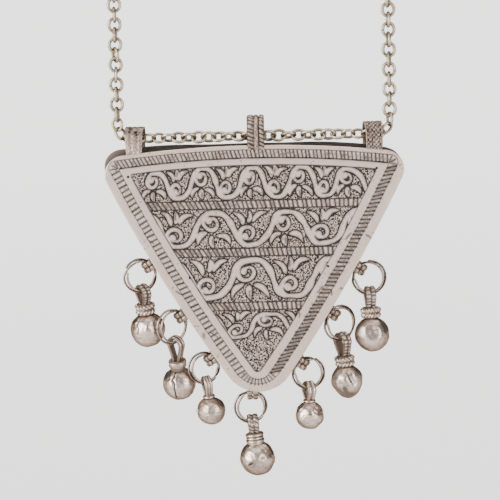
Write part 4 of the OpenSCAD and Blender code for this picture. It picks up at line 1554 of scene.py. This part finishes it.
class NECKLACE_OT_loops(Operator):
    """Makes the seven beaded edge loops on the side wall"""

    bl_idname = "necklace.loops"
    bl_label = "Edge loops"

    def execute(self, context):
        metal = Metalwork()
        for k, (side, z, *_) in enumerate(RINGS):
            edge_loop(metal, side, z, 80 + k)
        metal.finish("edge_loops", silver("fitting"), "case_silver", "amulet", "amulet_case")
        return {"FINISHED"}


class NECKLACE_OT_rings(Operator):
    """Makes the seven double wound split rings"""

    bl_idname = "necklace.rings"
    bl_label = "Split rings"

    def execute(self, context):
        for k, row in enumerate(RINGS):
            metal = Metalwork()
            metal.add(*split_ring(HungRing(row), 90 + 3 * k))
            metal.finish(f"split_ring_{k + 1}", silver("ring"), "ring_silver", "amulet",
                         f"jump_ring_{k + 1}")
        return {"FINISHED"}


class NECKLACE_OT_drops(Operator):
    """Makes the seven hollow ball drops with their strips and collars"""

    bl_idname = "necklace.drops"
    bl_label = "Ball drops"

    def execute(self, context):
        unevenness = in_mm(context.scene.necklace_wear.ball_dent)
        for number, (ring, row) in enumerate(zip(RINGS, DROPS), 1):
            metal = Metalwork()
            dress_drop(metal, HungDrop(HungRing(ring), row), number, unevenness)
            metal.finish(f"hollow_ball_drop_{number}", silver("ball"), "drop_silver", "amulet",
                         f"ball_drop_{number}")
        return {"FINISHED"}


def softbox(name, location, target, watts, width, height, spread=180):
    lamp = bpy.data.lights.new(name, "AREA")
    lamp.shape, lamp.size, lamp.size_y, lamp.energy = "RECTANGLE", width, height, watts
    lamp.spread = math.radians(spread)
    box = bpy.data.objects.new(name, lamp)
    bpy.context.scene.collection.objects.link(box)
    box.location = location
    box.rotation_euler = (target - box.location).to_track_quat("-Z", "Y").to_euler()


def even_out(tree, output, surface, kind, studio, share):
    """What the eye sees directly gets an even pale tone, so that the studio is plain all round."""
    n = Nodes(tree)
    seen = n.add(kind, {"Color": rgba(studio.floor_colour), "Strength": studio.seen_light}).outputs[0]
    direct = n.times(n.add("LightPath").outputs["Is Camera Ray"], share)
    mixed = n.add("MixShader", {0: direct, 1: surface, 2: seen}).outputs[0]
    n.feed(tree.nodes[output].inputs["Surface"], mixed)


class NECKLACE_OT_studio(Operator):
    """Makes the pale floor, the soft lights and the camera"""

    bl_idname = "necklace.studio"
    bl_label = "Studio"

    MIDDLE = (-1.83, 0.0, -34.5)
    FLOOR_HALF = 8.0
    SIDE_BOX_AWAY = 0.75

    def execute(self, context):
        studio = context.scene.necklace_studio
        middle = Vector(place(self.MIDDLE).tolist())
        self.make_floor(context, studio)
        self.make_room(context, studio)
        for name, degrees, up, watts, size in (
                ("left_softbox", -58, 0.12, studio.key_power, (0.5, 0.7)),
                ("right_softbox", 42, 0.10, studio.fill_power, (0.42, 0.6))):
            a, d = math.radians(degrees), self.SIDE_BOX_AWAY
            softbox(name, middle + Vector((d * math.sin(a), -d * math.cos(a), up)), middle, watts, *size)
        softbox("top_softbox", middle + Vector((0.0, -0.25, 0.85)), middle, studio.top_power, 0.8, 0.6)
        # Its narrow beam keeps this light off the necklace itself.
        softbox("floor_softbox", middle + Vector((0.0, 1.5, 1.3)), middle + Vector((0.0, 1.7, 0.0)),
                studio.floor_power, 2.4, 2.6, spread=96)
        self.make_camera(context, studio, middle)
        return {"FINISHED"}

    def make_floor(self, context, studio):
        half, z = self.FLOOR_HALF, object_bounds()[0].z - studio.floor_drop
        floor = bpy.data.meshes.new("studio_floor")
        floor.from_pydata([(-half, -half, z), (half, -half, z), (half, half, z), (-half, half, z)], [],
                          [(0, 1, 2, 3)])
        floor_object = bpy.data.objects.new("studio_floor", floor)
        context.scene.collection.objects.link(floor_object)
        paint = bpy.data.materials.new("Pale studio floor")
        paint.use_nodes = True
        shader = paint.node_tree.nodes["Principled BSDF"]
        shader.inputs["Base Color"].default_value = rgba(studio.floor_colour)
        shader.inputs["Roughness"].default_value = 0.85
        even_out(paint.node_tree, "Material Output", shader.outputs[0], "Emission", studio, 0.8)
        floor.materials.append(paint)
        floor_object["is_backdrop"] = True

    def make_room(self, context, studio):
        world = bpy.data.worlds.new("Studio room")
        world.use_nodes = True
        background = world.node_tree.nodes["Background"]
        background.inputs["Color"].default_value = (0.97, 0.97, 1.0, 1.0)
        background.inputs["Strength"].default_value = studio.room_light
        even_out(world.node_tree, "World Output", background.outputs[0], "Background", studio, 1.0)
        context.scene.world = world

    def make_camera(self, context, studio, middle):
        lens = bpy.data.cameras.new("necklace_camera")
        camera = bpy.data.objects.new("necklace_camera", lens)
        context.scene.collection.objects.link(camera)
        lens.sensor_width = 36.0
        lens.lens = lens.sensor_width * studio.camera_distance / studio.field_width
        lens.clip_start, lens.clip_end = 0.01, 100.0
        back = Vector((0.0, -math.cos(studio.elevation), math.sin(studio.elevation)))
        camera.location = middle + back * studio.camera_distance
        turn = (-back).to_track_quat("-Z", "Y").to_matrix() @ Matrix.Rotation(-studio.roll, 3, "Z")
        camera.rotation_euler = turn.to_euler()
        context.scene.camera = camera


class NECKLACE_PT_panel(Panel):
    """Lists the pieces and their sizes in the sidebar"""

    bl_idname = "NECKLACE_PT_panel"
    bl_label = "Amulet necklace"
    bl_space_type = "VIEW_3D"
    bl_region_type = "UI"
    bl_category = "Necklace"

    def draw(self, context):
        column = self.layout.column()
        for operator in OPERATORS:
            column.operator(operator.bl_idname)
        for name, group in SETTINGS.items():
            settings = getattr(context.scene, name)
            box = self.layout.box()
            for field in group.__annotations__:
                box.prop(settings, field)


OPERATORS = (
    NECKLACE_OT_chain, NECKLACE_OT_plate, NECKLACE_OT_case, NECKLACE_OT_bails, NECKLACE_OT_loops,
    NECKLACE_OT_rings, NECKLACE_OT_drops, NECKLACE_OT_studio,
)
SETTINGS = {
    "necklace_look": NecklaceLook,
    "necklace_engraving": EngravingSizes,
    "necklace_wear": WearSizes,
    "necklace_studio": StudioSettings,
}


def register():
    for group in SETTINGS.values():
        bpy.utils.register_class(group)
    for name, group in SETTINGS.items():
        setattr(bpy.types.Scene, name, PointerProperty(type=group))
    for item in OPERATORS + (NECKLACE_PT_panel,):
        bpy.utils.register_class(item)


def unregister():
    for item in reversed(OPERATORS + (NECKLACE_PT_panel,)):
        bpy.utils.unregister_class(item)
    for name, group in SETTINGS.items():
        delattr(bpy.types.Scene, name)
        bpy.utils.unregister_class(group)


def main():
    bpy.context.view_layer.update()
    register()
    for operator in OPERATORS:
        getattr(bpy.ops.necklace, operator.bl_idname.split(".")[1])()


if __name__ == "__main__":
    main()
